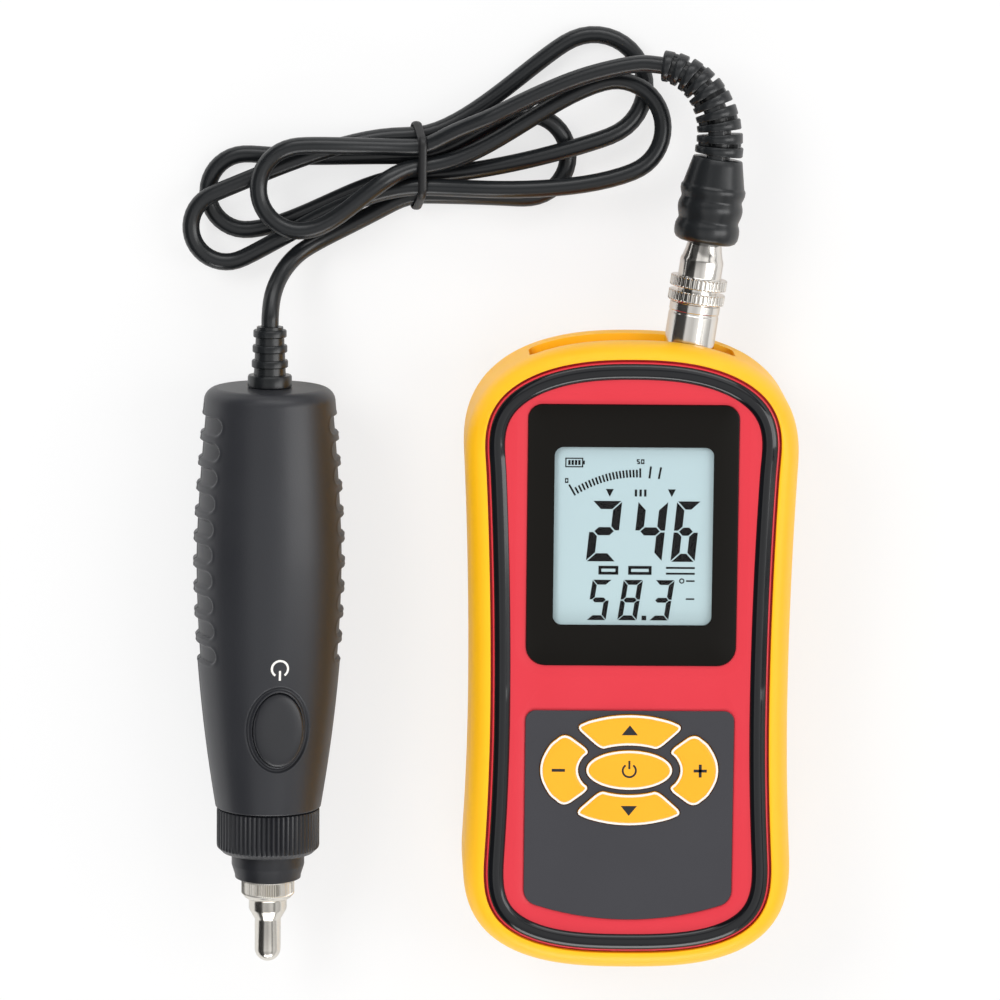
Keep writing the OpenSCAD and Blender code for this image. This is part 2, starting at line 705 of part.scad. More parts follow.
// Socket in the case's end wall
flange_r = 7.4;
flange_t = 1.2;
flange_s = -4.2;
barrel_tip = 5.5;
barrel_tail = -17;
pad_r = 9;
pad_tail = -8;
nut_flats = 14.6;
nut_t = 2.5;
socket_gap = 0.05;
module socket_pad(z0, z1) intersection() {
    on_plug_axis() translate([0, 0, pad_tail])
        cylinder(h = flange_s - pad_tail + case_wall, r = pad_r);
    slab(case_inset + case_wall / 2, z0, z1);
}
module socket_hole() on_plug_axis() {
    translate([0, 0, barrel_tail])
        cylinder(h = barrel_tip - barrel_tail, r = barrel_d / 2 + socket_gap);
    translate([0, 0, flange_s])
        cylinder(h = cut + boot_wall + flange_t, r = flange_r + boot_fit);
}
module socket_shell() color("#C9CBCD") on_plug_axis() difference() {
    union() {
        translate([0, 0, barrel_tail]) cylinder(h = barrel_tip - barrel_tail, d = barrel_d);
        translate([0, 0, flange_s]) cylinder(h = flange_t, r = flange_r);
    }
    translate([0, 0, barrel_tail - cut])
        cylinder(h = barrel_tip - barrel_tail + 2 * cut, d = barrel_bore);
}
module socket_nut() color("#C9CBCD") on_plug_axis() translate([0, 0, pad_tail - nut_t]) difference() {
    cylinder(h = nut_t, r = nut_flats / 2 / cos(30), $fn = 6);
    translate([0, 0, -cut]) cylinder(h = nut_t + 2 * cut, r = barrel_d / 2 + socket_gap);
}
insert_head = -4.4;
insert_tail = -15;
pin_ring_r = 2.6;
pin_r = 0.5;
pin_count = 4;
pin_reach = 4;
module at_pins() for (i = [0 : pin_count - 1]) rotate([0, 0, 45 + 360 * i / pin_count])
    translate([pin_ring_r, 0, 0]) children();
module socket_insert() color("#2A2C2E") on_plug_axis() difference() {
    translate([0, 0, insert_tail])
        cylinder(h = insert_head - insert_tail, r = barrel_bore / 2 - socket_gap);
    at_pins() translate([0, 0, insert_head - pin_reach - boot_fit])
        cylinder(h = pin_reach + boot_fit + cut, r = pin_r + socket_gap, $fn = 24);
}

// Plug: nose inside the barrel, collar that keeps the sleeve, knurled back shell, tapered tail
nose_fit = 0.08;
nose_r = barrel_bore / 2 - nose_fit;
nose_wall = 1;
nose_s = -3;
collar_s = 8.6;
collar_t = 1.2;
collar_r = 5.75;
neck_r = 5;
ring_s = 13.6;
ring_t = 2.8;
shell_end = 21.5;
taper_end = 25.4;
taper_r = 4.35;
tail_r = 4.2;
tail_end = 42;
knurl_count = 40;
knurl_deep = 0.35;
module knurled_ring(r, h) difference() {
    cylinder(h = h, r = r);
    for (i = [0 : knurl_count - 1]) rotate([0, 0, 360 * i / knurl_count])
        translate([r - knurl_deep, -knurl_deep, -cut]) cube([cut, 2 * knurl_deep, h + 2 * cut]);
}
module plug_shell() color("#D0D2D4") on_plug_axis() difference() {
    union() {
        rotate_extrude() polygon([[0, nose_s], [nose_r, nose_s], [nose_r, collar_s],
            [collar_r, collar_s], [collar_r, collar_s + collar_t], [neck_r, collar_s + collar_t],
            [neck_r, ring_s], [shell_d / 2, ring_s], [shell_d / 2, shell_end],
            [taper_r, taper_end], [tail_r, taper_end], [tail_r, tail_end], [0, tail_end]]);
        translate([0, 0, ring_s]) knurled_ring(knurl_d / 2, ring_t);
    }
    translate([0, 0, nose_s - cut]) cylinder(h = collar_s - nose_s + cut, r = nose_r - nose_wall);
}
module plug_insert() color("#2A2C2E") on_plug_axis() {
    translate([0, 0, insert_head + boot_fit + seat])
        cylinder(h = collar_s - insert_head - boot_fit - 2 * seat, r = nose_r - nose_wall - seat);
    at_pins() translate([0, 0, insert_head - pin_reach + boot_fit])
        cylinder(h = pin_reach + seat, r = pin_r, $fn = 24);
}
sleeve_front_gap = 0.3;
sleeve_fit = 0.15;
sleeve_front = flange_s + flange_t + sleeve_front_gap;
sleeve_ring_s = 9.9;
sleeve_ring_t = 2.7;
sleeve_bore_r = barrel_d / 2 + sleeve_fit;
sleeve_gap = 0.06;
module coupling_sleeve() color("#D0D2D4") on_plug_axis() difference() {
    union() {
        translate([0, 0, sleeve_front])
            cylinder(h = sleeve_ring_s - sleeve_front + seat, d = sleeve_d);
        translate([0, 0, sleeve_ring_s]) knurled_ring(knurl_d / 2, sleeve_ring_t);
    }
    translate([0, 0, sleeve_front - cut])
        cylinder(h = collar_s + collar_t + sleeve_gap - sleeve_front + cut, r = sleeve_bore_r);
    translate([0, 0, collar_s]) cylinder(h = cut + ring_s - collar_s, r = neck_r + sleeve_gap);
}

// Rubber boot of the plug, and the segmented relief that curls out of it
relief_ease = 1.3;
relief_droop = 10;
relief_substeps = 5;
relief_gap_steps = 2;
relief_core_r = 3;
relief_start_r = 6.2;
relief_end_r = 4;
grip_foot = taper_end + seat;
grip_top = 47.4;
grip_r = grip_d / 2;
// Outline of the gripped part: radii and heights as shares of its own size
grip_shares = [[0.72, 0], [0.92, 0.03], [0.995, 0.1], [1, 0.17], [0.97, 0.22], [0.925, 0.26],
    [0.955, 0.31], [0.99, 0.37], [1, 0.42], [0.975, 0.47], [0.935, 0.51], [0.96, 0.55],
    [1, 0.6], [1, 0.655], [0.955, 0.675], [0.755, 1]];
function relief_heading(l) = relief_turn * pow(l / relief_len, relief_ease);
relief_walk = relief_count * relief_substeps;
relief_path = [for (i = 0, p = [0, 0]; i <= relief_walk;
    p = p + relief_len / relief_walk
        * [-sin(relief_heading((i + 0.5) * relief_len / relief_walk)),
            cos(relief_heading((i + 0.5) * relief_len / relief_walk))],
    i = i + 1) p];
function relief_place(i) = let (p = relief_path[i]) [p[0], 0, grip_top + p[1]];
function relief_droops(p) = [p[0] * cos(relief_droop) + p[1] * sin(relief_droop),
    p[1] * cos(relief_droop) - p[0] * sin(relief_droop), p[2]];
relief_sides = 24;
relief_rib_share = 0.9;
relief_rib_reach = 25;
// Ring of the relief at a step of its walk; a gap's ring keeps only two ribs at full width
function relief_ring(i, r, rib_axis) =
    let (h = relief_heading(i * relief_len / relief_walk))
    [for (k = [0 : relief_sides - 1])
        let (a = 360 * (k + 0.5) / relief_sides,
             off = abs((a + 90 - rib_axis) % 180 - 90),
             w = rib_axis < 0 ? r : off < relief_rib_reach ? r * relief_rib_share : relief_core_r)
        relief_droops(relief_place(i) + w * [cos(a) * cos(h), sin(a), cos(a) * sin(h)])];
module plug_boot() {
    gap_steps = relief_gap_steps;
    grip_rings = [for (s = grip_shares) [for (k = [0 : relief_sides - 1])
        let (a = 360 * (k + 0.5) / relief_sides, r = s[0] * grip_r)
        relief_droops([r * cos(a), r * sin(a), grip_foot + s[1] * (grip_top - grip_foot)])]];
    bend_rings = [for (n = [0 : relief_count - 1])
        let (r = relief_start_r + (relief_end_r - relief_start_r) * n / (relief_count - 1),
             i = n * relief_substeps, axis = n % 2 == 0 ? 90 : 0)
        each [relief_ring(i, r, axis), relief_ring(i + gap_steps, r, axis),
            relief_ring(i + gap_steps, r, -1), relief_ring(i + relief_substeps, r, -1)]];
    color("#2B2D30") on_plug_axis() difference() {
        skin(concat(grip_rings, bend_rings));
        translate([0, 0, grip_foot - cut])
            cylinder(h = tail_end - grip_foot + cut + seat, r = tail_r + seat);
    }
}

// Cord: frames along a list of points, and a tube over them
cord_r = cord_d / 2;
probe_z = probe_d / 2;
relief_tail = 84;
function unit(v) = v / norm(v);
function heading(points, i) = i == 0 ? unit(points[1] - points[0]) :
    i == len(points) - 1 ? unit(points[i] - points[i - 1]) : unit(points[i + 1] - points[i - 1]);
function ring_at(points, i, r, sides) =
    let (t = heading(points, i), across = unit(cross(t, [0, 0, 1])), up = cross(across, t))
    [for (k = [0 : sides - 1]) let (a = 360 * (k + 0.5) / sides)
        points[i] + r * (cos(a) * across - sin(a) * up)];
module tube(points, r, sides)
    skin([for (i = [0 : len(points) - 1]) ring_at(points, i, r, sides)]);
// Smooth curve through hand-chosen points, straight between its first two and its last two
function spline(p, steps) =
    [for (i = [0 : len(p) - 2]) for (s = [0 : steps - 1])
        let (t = s / steps, b = p[i], c = p[i + 1])
        i == 0 || i == len(p) - 2 ? b + (c - b) * t :
            let (a = p[i - 1], d = p[i + 2])
            0.5 * (2 * b + (c - a) * t + (2 * a - 5 * b + 4 * c - d) * t * t
                + (3 * b - a - 3 * c + d) * t * t * t),
     p[len(p) - 1]];

// Slots of the tied bundle: four strands below, three in the valleys above
tie_x = -55.4;
tie_y = 124.4;
low_z = 4.2;
high_z = low_z + sqrt(cord_step * cord_step * 3 / 4);
function low_slot(i) = [tie_x, tie_y + cord_step * (1.5 - i), low_z];
function high_slot(i) = [tie_x, tie_y + cord_step * (1 - i), high_z];

// Each loop: slots in and out, centre and radius of its far bend, the bend's first and last
// angle, its height at start, middle and end, tilt of both runs at the tie, and the share of
// each run by which that height is reached
loop_c = [high_slot(0), high_slot(1), [-85.6, 119], 11.1, [93, 267], [12.8, 12.6, 13],
    [0, 0], [0.8, 0.3]];
loop_3 = [high_slot(1), high_slot(2), [-4.3, 135.3], 12.1, [105, -68], [9.1, 10.7, 13.3],
    [0, 0], [0.44, 0.46]];
loop_b = [high_slot(2), low_slot(0), [-104.9, 108.4], 9.3, [297, 112], [7, 7.3, 7.6],
    [-1, -6], [0.6, 0.53]];
loop_1 = [low_slot(0), low_slot(2), [-10, 145.4], 13.4, [124, -71], [2.5, 3, 7.8],
    [10, -1], [0.5, 0.91]];
loop_a = [low_slot(2), low_slot(1), [-100, 117], 10, [276, 84], [2.3, 2.3, 2.3],
    [0, 0], [0.41, 0.42]];
loop_4 = [low_slot(1), low_slot(3), [-27.3, 127], 11, [95, -93], [3.8, 2.3, 3.6],
    [-1, 0], [0.65, 0.84]];
run_rings = 8;
turn_rings = 8;
run_pull = 0.9;
function hermite(p, m, q, n, t) =
    (2 * t * t * t - 3 * t * t + 1) * p + (t * t * t - 2 * t * t + t) * m
    + (3 * t * t - 2 * t * t * t) * q + (t * t * t - t * t) * n;
function flat(p) = [p[0], p[1]];
function ease(t) = let (u = min(1, t)) u * u * (3 - 2 * u);
function raised(p, z) = [p[0], p[1], z];
function loop_points(l) =
    let (c = l[2], r = l[3], a0 = l[4][0], a1 = l[4][1], z = l[5],
         way = a1 > a0 ? 1 : -1, out = c[0] < tie_x ? -1 : 1,
         slot_in = flat(l[0]), slot_out = flat(l[1]),
         start = c + r * [cos(a0), sin(a0)], end = c + r * [cos(a1), sin(a1)],
         go = way * [-sin(a0), cos(a0)], back = way * [-sin(a1), cos(a1)],
         leave = [out * cos(l[6][0]), sin(l[6][0])], arrive = [-out * cos(l[6][1]), sin(l[6][1])],
         run = run_pull * norm(start - slot_in), home = run_pull * norm(end - slot_out))
    concat(
        [for (i = [0 : run_rings - 1]) let (t = i / run_rings)
            raised(hermite(slot_in, run * leave, start, run * go, t),
                l[0][2] + (z[0] - l[0][2]) * ease(t / l[7][0]))],
        [for (i = [0 : turn_rings - 1]) let (t = i / turn_rings, a = a0 + (a1 - a0) * t)
            raised(c + r * [cos(a), sin(a)], t < 0.5
                ? z[0] + (z[1] - z[0]) * 2 * t : z[1] + (z[2] - z[1]) * (2 * t - 1))],
        [for (i = [0 : run_rings - 1]) let (t = i / run_rings)
            raised(hermite(end, home * back, slot_out, home * arrive, t),
                l[1][2] + (z[2] - l[1][2]) * ease((1 - t) / l[7][1]))]);

// Where the hank begins and ends, and the strands between it and the plug and the probe
hank_in = [-42, 135.6, 12];
hank_in_run = unit([-12.6, -5.4, -3]);
hank_out = [-70, 110.2, 3.6];
hank_out_run = unit([-14, -7.2, 0.4]);
entry_rings = 3;
hank_points = concat(
    [hank_in, hank_in + cord_d * hank_in_run],
    [for (i = [1 : entry_rings - 1])
        let (p = hank_in + cord_d * hank_in_run, q = high_slot(0), pull = norm(q - p))
        hermite(p, pull * hank_in_run, q, pull * [-1, 0, 0], i / entry_rings)],
    loop_points(loop_c), loop_points(loop_3), loop_points(loop_b),
    loop_points(loop_1), loop_points(loop_a), loop_points(loop_4),
    [for (i = [0 : entry_rings - 1])
        let (p = low_slot(3), q = hank_out - cord_d * hank_out_run, pull = norm(q - p))
        hermite(p, pull * [-1, 0, 0], q, pull * hank_out_run, i / entry_rings)],
    [hank_out - cord_d * hank_out_run, hank_out]);

plug_cord_start = from_plug_axis(relief_droops(relief_place(relief_walk)));
plug_cord_way = unit(from_plug_turn(relief_droops(
    [-sin(relief_heading(relief_len)), 0, cos(relief_heading(relief_len))])));
plug_route = [
    plug_cord_start, plug_cord_start + cord_d * plug_cord_way,
    [-4, 151.2, 14.6], [-14, 148.4, 13.8], [-24, 144.2, 13.2], [-33, 139.8, 12.9],
    hank_in - cord_d * hank_in_run, hank_in];
probe_route = [
    hank_out, hank_out + cord_d * hank_out_run,
    [-81, 104.6, 4.8], [-86.4, 101.4, 7.3], [-90.4, 97, 11.4], [-92.7, 91.8, 16.4],
    [probe_x, relief_tail + cord_d / 2, probe_z], [probe_x, relief_tail, probe_z]];
stretch_steps = 2;
module cord_plug_stretch() color("#202124") tube(spline(plug_route, stretch_steps), cord_r, 8);
module cord_hank() color("#202124") tube(hank_points, cord_r, 6);
module cord_probe_stretch() color("#202124") tube(spline(probe_route, stretch_steps), cord_r, 8);

// Least distance between two straight pieces of the cord, for the printed gap
function seg_gap(a, b, c, d) =
    let (u = b - a, v = d - c, w = a - c, uu = u * u, uv = u * v, vv = v * v, uw = u * w, vw = v * w,
         den = max(uu * vv - uv * uv, seat * seat),
         s = min(max((uv * vw - vv * uw) / den, 0), 1),
         t = min(max((uv * s + vw) / vv, 0), 1),
         s2 = min(max((uv * t - uw) / uu, 0), 1))
    norm(w + s2 * u - t * v);
near = 3;
hank_gaps = [for (i = [0 : len(hank_points) - 2]) for (j = [i + near : 1 : len(hank_points) - 2])
    [seg_gap(hank_points[i], hank_points[i + 1], hank_points[j], hank_points[j + 1]) - cord_d, i, j]];
least_gap = min([for (g = hank_gaps) g[0]]);
echo("least gap of the hank to itself", least_gap, [for (g = hank_gaps) if (g[0] == least_gap) g]);
echo("lowest point of the hank", min([for (p = hank_points) p[2]]) - cord_r);
function path_len(p) = len(p) < 2 ? 0 : [for (i = 0, s = 0; i < len(p); s = s + (i + 1 < len(p) ?
    norm(p[i + 1] - p[i]) : 0), i = i + 1) s][len(p) - 1];
echo("cord length", path_len(hank_points) + path_len(spline(plug_route, stretch_steps))
    + path_len(spline(probe_route, stretch_steps)));
echo("cord leaves the plug", plug_cord_start, plug_cord_way);

// Tie round the bundle, an even slanted band over four corner arcs
tie_gap = 0.6;
tie_slant = 0.1;
tie_mid_z = (low_z + high_z) / 2;
function tie_outline(r) =
    let (low = 1.5 * cord_step, high = cord_step, lean = 30, steps = 4)
    concat(arc([low, low_z], r, -90, lean, steps), arc([high, high_z], r, lean, 90, steps),
        arc([-high, high_z], r, 90, 180 - lean, steps), arc([-low, low_z], r, 180 - lean, 270, steps));
module tie_block(r, half) skin([for (x = [-half, half]) [for (p = tie_outline(r))
    [tie_x + x + tie_slant * (p[1] - tie_mid_z), tie_y + p[0], p[1]]]]);
module cord_tie() color("#1A1B1D") difference() {
    tie_block(cord_r + tie_gap + tie_t, tie_w / 2);
    tie_block(cord_r + tie_gap, tie_w / 2 + cut);
}

// Probe: its own frame lies along the body, rolled about the axis
module in_probe() translate([probe_x, 0, probe_z]) rotate([0, probe_roll, 0]) children();
module along_probe() in_probe() rotate([-90, 0, 0]) children();
belly_power = 1.9;
shoulder_fall_power = 1.5;
body_steps = 9;
edge_r = 3.6;
edge_steps = 5;
fillet_y = probe_top - edge_r;
function body_r(y) = y < probe_belly
    ? probe_d / 2 - (probe_d - probe_foot_d) / 2
        * pow((probe_belly - y) / (probe_belly - probe_foot), belly_power)
    : probe_d / 2 - (probe_d - probe_top_d) / 2
        * pow((y - probe_belly) / (fillet_y - probe_belly), shoulder_fall_power);
function body_side(shrink) = concat(
    [for (i = [0 : body_steps]) let (y = probe_foot + (probe_belly - probe_foot) * i / body_steps)
        [body_r(y) - shrink, y]],
    [for (i = [1 : body_steps - 2])
        let (y = probe_belly + (fillet_y - probe_belly) * i / (body_steps - 1))
        [body_r(y) - shrink, y]]);
module body_solid() rotate_extrude() polygon(concat([[0, probe_foot]], body_side(0),
    arc([probe_top_d / 2 - edge_r, fillet_y], edge_r, 0, 90, edge_steps), [[0, probe_top]]));
module body_hollow() rotate_extrude() polygon(concat([[0, probe_foot - cut],
    [body_r(probe_foot) - probe_wall, probe_foot - cut]], body_side(probe_wall),
    [[probe_top_d / 2 - edge_r, probe_top - probe_wall], [0, probe_top - probe_wall]]));
// Finger grooves wrap round both sides, with round ends and a floor that follows the body
groove_first = -0.2;
groove_half = 10.4;
module grooves() difference() {
    for (i = [0 : groove_count - 1]) translate([0, groove_first + i * groove_step, 0])
        rotate([0, 90, 0]) linear_extrude(2 * probe_d, center = true) {
            square([2 * groove_half - groove_w, groove_w], center = true);
            for (end = [-1, 1]) translate([end * (groove_half - groove_w / 2), 0])
                circle(d = groove_w);
        }
    rotate([-90, 0, 0]) rotate_extrude() polygon(concat([[0, probe_foot]],
        body_side(groove_deep), [[0, fillet_y]]));
}
// Places on the probe
button_y = -18.6;
trench_grow = 1.9;
trench_deep = 0.6;
button_fit = 0.25;
button_rim = 0.8;
relief_neck_r = 4.1;
relief_root_r = 5.7;
relief_ring_count = 3;
post_y = [52, -32.4];
post_x = 0;
probe_post_r = 2.6;
probe_screw_r = 1;
probe_screw_head_r = 1.9;
probe_screw_head_t = 1.4;
module half_space(up) translate([-probe_d, probe_foot - cut, up ? 0 : -probe_d])
    cube([2 * probe_d, probe_top - probe_foot + 2 * cut, probe_d]);
// The whole hollow body, with its posts, before it is cut in two
module body_shell() difference() {
    union() {
        difference() {
            rotate([-90, 0, 0]) body_solid();
            rotate([-90, 0, 0]) body_hollow();
        }
        intersection() {
            rotate([-90, 0, 0]) body_solid();
            for (y = post_y) translate([post_x, y, -probe_d / 2])
                cylinder(h = probe_d, r = probe_post_r);
        }
    }
    grooves();
    rotate([-90, 0, 0]) translate([0, 0, probe_top - probe_wall - cut])
        cylinder(h = probe_wall + 2 * cut, r = relief_neck_r + seat);
}
module button_cut(grow, z0, z1) translate([0, button_y, 0])
    plate(ellipse(button_a + grow, button_b + grow, 40), z0, z1);
module probe_front_shell() color("#37393C") in_probe() difference() {
    intersection() {
        body_shell();
        half_space(true);
    }
    button_cut(button_fit, 0, probe_d);
    difference() {
        button_cut(trench_grow, body_r(button_y) - trench_deep, probe_d);
        button_cut(button_rim + button_fit, 0, body_r(button_y) - trench_deep / 3);
    }
    for (y = post_y) translate([post_x, y, -cut])
        cylinder(h = probe_screw_bite, r = probe_screw_r + screw_gap);
}
probe_screw_bite = 9;
module probe_rear_shell() color("#37393C") in_probe() difference() {
    intersection() {
        body_shell();
        half_space(false);
    }
    for (y = post_y) {
        translate([post_x, y, -probe_d]) cylinder(h = probe_d + cut, r = probe_screw_r + screw_gap);
        translate([post_x, y, -probe_d])
            cylinder(h = probe_d - probe_screw_sink, r = probe_screw_head_r + screw_gap);
    }
}
probe_screw_sink = 12;
module probe_screws() color("#9A9CA0") in_probe() for (y = post_y) translate([post_x, y, 0]) {
    translate([0, 0, -probe_screw_sink - probe_screw_head_t])
        cylinder(h = probe_screw_head_t, r = probe_screw_head_r);
    translate([0, 0, -probe_screw_sink - seat])
        cylinder(h = probe_screw_sink + probe_screw_bite - cut - seat, r = probe_screw_r);
}
// The button: crowned cap over a straight body with a flange below the shell
button_proud = 0.35;
button_top = body_r(button_y) + button_proud;
button_flange = 1;
button_flange_t = 1.2;
button_floor = 10.6;
module probe_button() color("#33353A") in_probe() translate([0, button_y, 0]) {
    steps = 3;
    for (i = [0 : steps - 1]) {
        shrink = button_crown * pow(i / steps, 2);
        plate(ellipse(button_a - shrink, button_b - shrink, 40),
            button_floor + button_flange_t - seat,
            button_top - button_crown / 2 + button_crown / 2 * (i + 1) / steps);
    }
    plate(ellipse(button_a + button_flange, button_b + button_flange, 40), button_floor,
        button_floor + button_flange_t);
}
button_crown = 1.4;
switch_w = 6;
switch_h = 2.5;
plunger_r = 1.7;
board_h = 5;
module probe_switch() color("#202225") in_probe() {
    translate([-switch_w / 2, button_y - switch_w / 2, board_h + probe_board_t])
        cube([switch_w, switch_w, switch_h]);
    translate([0, button_y, board_h + probe_board_t + switch_h - seat])
        cylinder(h = button_floor - board_h - probe_board_t - switch_h - button_travel,
            r = plunger_r);
}
probe_board_t = 1.6;
probe_board_w = 17;
probe_board_foot = -29;
probe_board_head = 58;
module probe_board() color("#1F6B45") in_probe() difference() {
    translate([-probe_board_w / 2, probe_board_foot, board_h])
        cube([probe_board_w, probe_board_head - probe_board_foot, probe_board_t]);
    for (y = post_y) translate([post_x, y, board_h - cut])
        cylinder(h = probe_board_t + 2 * cut, r = probe_post_r + boot_fit);
}
module probe_relief() color("#2B2D30") along_probe() {
    under = probe_top - probe_wall;
    ring_base = probe_top + relief_foot;
    rotate_extrude() polygon([[0, under - relief_flange], [relief_root_r, under - relief_flange],
        [relief_root_r, under - seat], [relief_neck_r, under - seat],
        [relief_neck_r, probe_top + seat], [relief_root_r, probe_top + seat],
        [relief_root_r, ring_base], [relief_neck_r, ring_base],
        [relief_end_neck_r, relief_tail], [0, relief_tail]]);
    for (i = [0 : relief_ring_count - 1])
        translate([0, 0, ring_base + relief_ring_step * (i + 1) - relief_ring_t])
            cylinder(h = relief_ring_t, r = relief_neck_r + relief_ring_out - relief_ring_fall * i);
}
relief_flange = 1.5;
relief_foot = 3.2;
relief_ring_step = 3.9;
relief_ring_t = 1.9;
relief_ring_out = 0.6;
relief_ring_fall = 0.2;
relief_end_neck_r = 3.4;

// Nose: collar on the threaded end, black nose, sensor stack, contact tip
thread_r = 11.4;
collar_gap = 0.06;
collar_foot = probe_foot - collar_len;
collar_fit = 0.1;
collar_lip_r = nose_d / 2 + collar_fit;
collar_chamfer = 1.6;
module nose_collar() color("#2B2D30") along_probe() difference() {
    rotate_extrude() polygon([[0, collar_foot], [collar_d / 2 - collar_chamfer, collar_foot],
        [collar_d / 2, collar_foot + collar_chamfer], [collar_d / 2, probe_foot - seat - boot_fit],
        [0, probe_foot - seat - boot_fit]]);
    for (i = [0 : collar_ribs - 1]) rotate([0, 0, 360 * i / collar_ribs])
        translate([collar_d / 2 - collar_rib_deep, -collar_rib_w / 2, collar_foot - cut])
            cube([cut, collar_rib_w, collar_len + 2 * cut]);
    translate([0, 0, collar_foot + collar_lip_t]) cylinder(h = collar_len, r = thread_r + collar_gap);
    translate([0, 0, collar_foot - cut]) cylinder(h = collar_len, r = collar_lip_r);
}
collar_rib_deep = 0.4;
collar_rib_w = 0.6;
collar_lip_t = 2.4;
module nose_sleeve() color("#26282B") along_probe() difference() {
    rotate_extrude() polygon([[0, nose_end], [nose_d / 2 - nose_chamfer / 2, nose_end],
        [nose_d / 2 - nose_chamfer / 2, nose_end + nose_chamfer / 2],
        [nose_d / 2, nose_end + 2 * nose_chamfer], [nose_d / 2, collar_foot + collar_lip_t + collar_gap],
        [thread_r, collar_foot + collar_lip_t + collar_gap], [thread_r, nose_root], [0, nose_root]]);
    translate([0, 0, sensor_foot]) cylinder(h = nose_root - sensor_foot + cut, r = sensor_r + seat);
    translate([0, 0, nose_end - cut])
        cylinder(h = sensor_foot - nose_end + 2 * cut, r = sensor_neck_r + seat);
}
nose_chamfer = 1.8;
thread_len = 6;
nose_root = probe_foot + thread_len;
sensor_r = 7;
sensor_neck_r = 5;
sensor_neck_len = 4;
sensor_len = 7;
sensor_foot = nose_end + sensor_neck_len;
sensor_head = sensor_foot + sensor_len;
stud_r = 2;
stud_len = 7;
stud_gap = 0.05;
module sensor_body() color("#B9BBBE") along_probe() difference() {
    union() {
        translate([0, 0, nose_end]) cylinder(h = sensor_foot - nose_end + seat, r = sensor_neck_r);
        translate([0, 0, sensor_foot + seat]) cylinder(h = sensor_head - sensor_foot - seat, r = sensor_r);
    }
    translate([0, 0, nose_end - cut]) cylinder(h = stud_len + cut, r = stud_r + stud_gap);
}
piezo_t = 1;
piezo_count = 3;
piezo_r = 5;
module piezo_rings() color("#E6E0D0") along_probe()
    for (i = [0 : piezo_count - 1]) translate([0, 0, sensor_head + i * piezo_t])
        cylinder(h = piezo_t, r = piezo_r - (i % 2) * seat);
mass_t = 5;
mass_r = 5.5;
module sensor_mass() color("#8F9194") along_probe()
    translate([0, 0, sensor_head + piezo_count * piezo_t]) cylinder(h = mass_t, r = mass_r);

// Contact tip: knurled ring, neck, cone and round-ended rod, on a stud
tip_ring_len = 4;
tip_gap = 0.3;
tip_ring_top = nose_end - tip_gap;
tip_ring_foot = tip_ring_top - tip_ring_len;
tip_bevel = 1.4;
tip_neck_r = 4.95;
tip_neck_len = 2.6;
tip_cone_len = 2.8;
module contact_tip() color("#C4C1BC") along_probe() {
    cone_top = tip_ring_foot - tip_bevel - tip_neck_len;
    rod = tip_d / 2;
    translate([0, 0, tip_ring_foot]) knurled_ring(tip_ring_d / 2, tip_ring_len);
    rotate_extrude() polygon(concat(
        [[0, tip_ring_top + stud_len - seat], [0, tip_end]],
        arc([0, tip_end + rod], rod, -85, 0, 7),
        [[rod, cone_top - tip_cone_len], [tip_neck_r, cone_top],
            [tip_neck_r, tip_ring_foot - tip_bevel],
            [tip_ring_d / 2 - tip_bevel, tip_ring_foot - tip_bevel / 2],
            [tip_ring_d / 2 - tip_bevel / 4, tip_ring_foot + seat],
            [stud_r, tip_ring_foot + seat], [stud_r, tip_ring_top + stud_len - seat]]));
}

holster();
front_case();
rear_case();
trim_ring();
display_lens();
lcd_glass();
lcd_frame();
backlight();
contact_strips();
keypad_sheet();
key_top();
key_left();
key_centre();
key_right();
key_bottom();
dome_switches();
main_board();
main_chip();
board_screws();
battery();
battery_snap();
battery_door();
case_screws();
socket_shell();
socket_nut();
socket_insert();
plug_shell();
plug_insert();
coupling_sleeve();
plug_boot();
cord_plug_stretch();
cord_hank();
cord_probe_stretch();
cord_tie();
probe_relief();
probe_front_shell();
probe_rear_shell();
probe_button();
probe_switch();
probe_board();
probe_screws();
sensor_body();
piezo_rings();
sensor_mass();
nose_sleeve();
nose_collar();
contact_tip();
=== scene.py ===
"""Looks of a handheld vibration meter in its soft boot, with a plugged pen probe.

Shapes are worked out in millimetres and written to the meshes in metres.
"""

import math

import bmesh
import bpy
import numpy as np
from mathutils import Matrix, Vector


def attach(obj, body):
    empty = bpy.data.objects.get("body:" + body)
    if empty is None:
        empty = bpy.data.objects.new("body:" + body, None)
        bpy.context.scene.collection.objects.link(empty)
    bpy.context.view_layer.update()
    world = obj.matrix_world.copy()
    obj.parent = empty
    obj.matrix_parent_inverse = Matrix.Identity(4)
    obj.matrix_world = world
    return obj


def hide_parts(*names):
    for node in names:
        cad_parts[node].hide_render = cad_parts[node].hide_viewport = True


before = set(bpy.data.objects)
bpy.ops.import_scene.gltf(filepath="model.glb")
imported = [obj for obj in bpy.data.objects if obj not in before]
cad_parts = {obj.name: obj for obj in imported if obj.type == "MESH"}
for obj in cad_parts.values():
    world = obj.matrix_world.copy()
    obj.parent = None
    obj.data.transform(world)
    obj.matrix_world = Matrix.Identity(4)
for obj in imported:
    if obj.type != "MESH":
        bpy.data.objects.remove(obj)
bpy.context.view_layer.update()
MM = 0.001
# Corners nearer than this, in metres, are one
MERGE = 1e-7

# Camera: where the photograph was taken from, a little above the socket end
AIM = Vector((-33.6, 39.1, 19.0))
TILT, LEFT, ROLL = 9.0, 1.4, 0.6
DISTANCE = 1450.0
PIXELS_PER_MM = 3.86
SENSOR = 36.0


def rad(degrees):
    return math.radians(degrees)


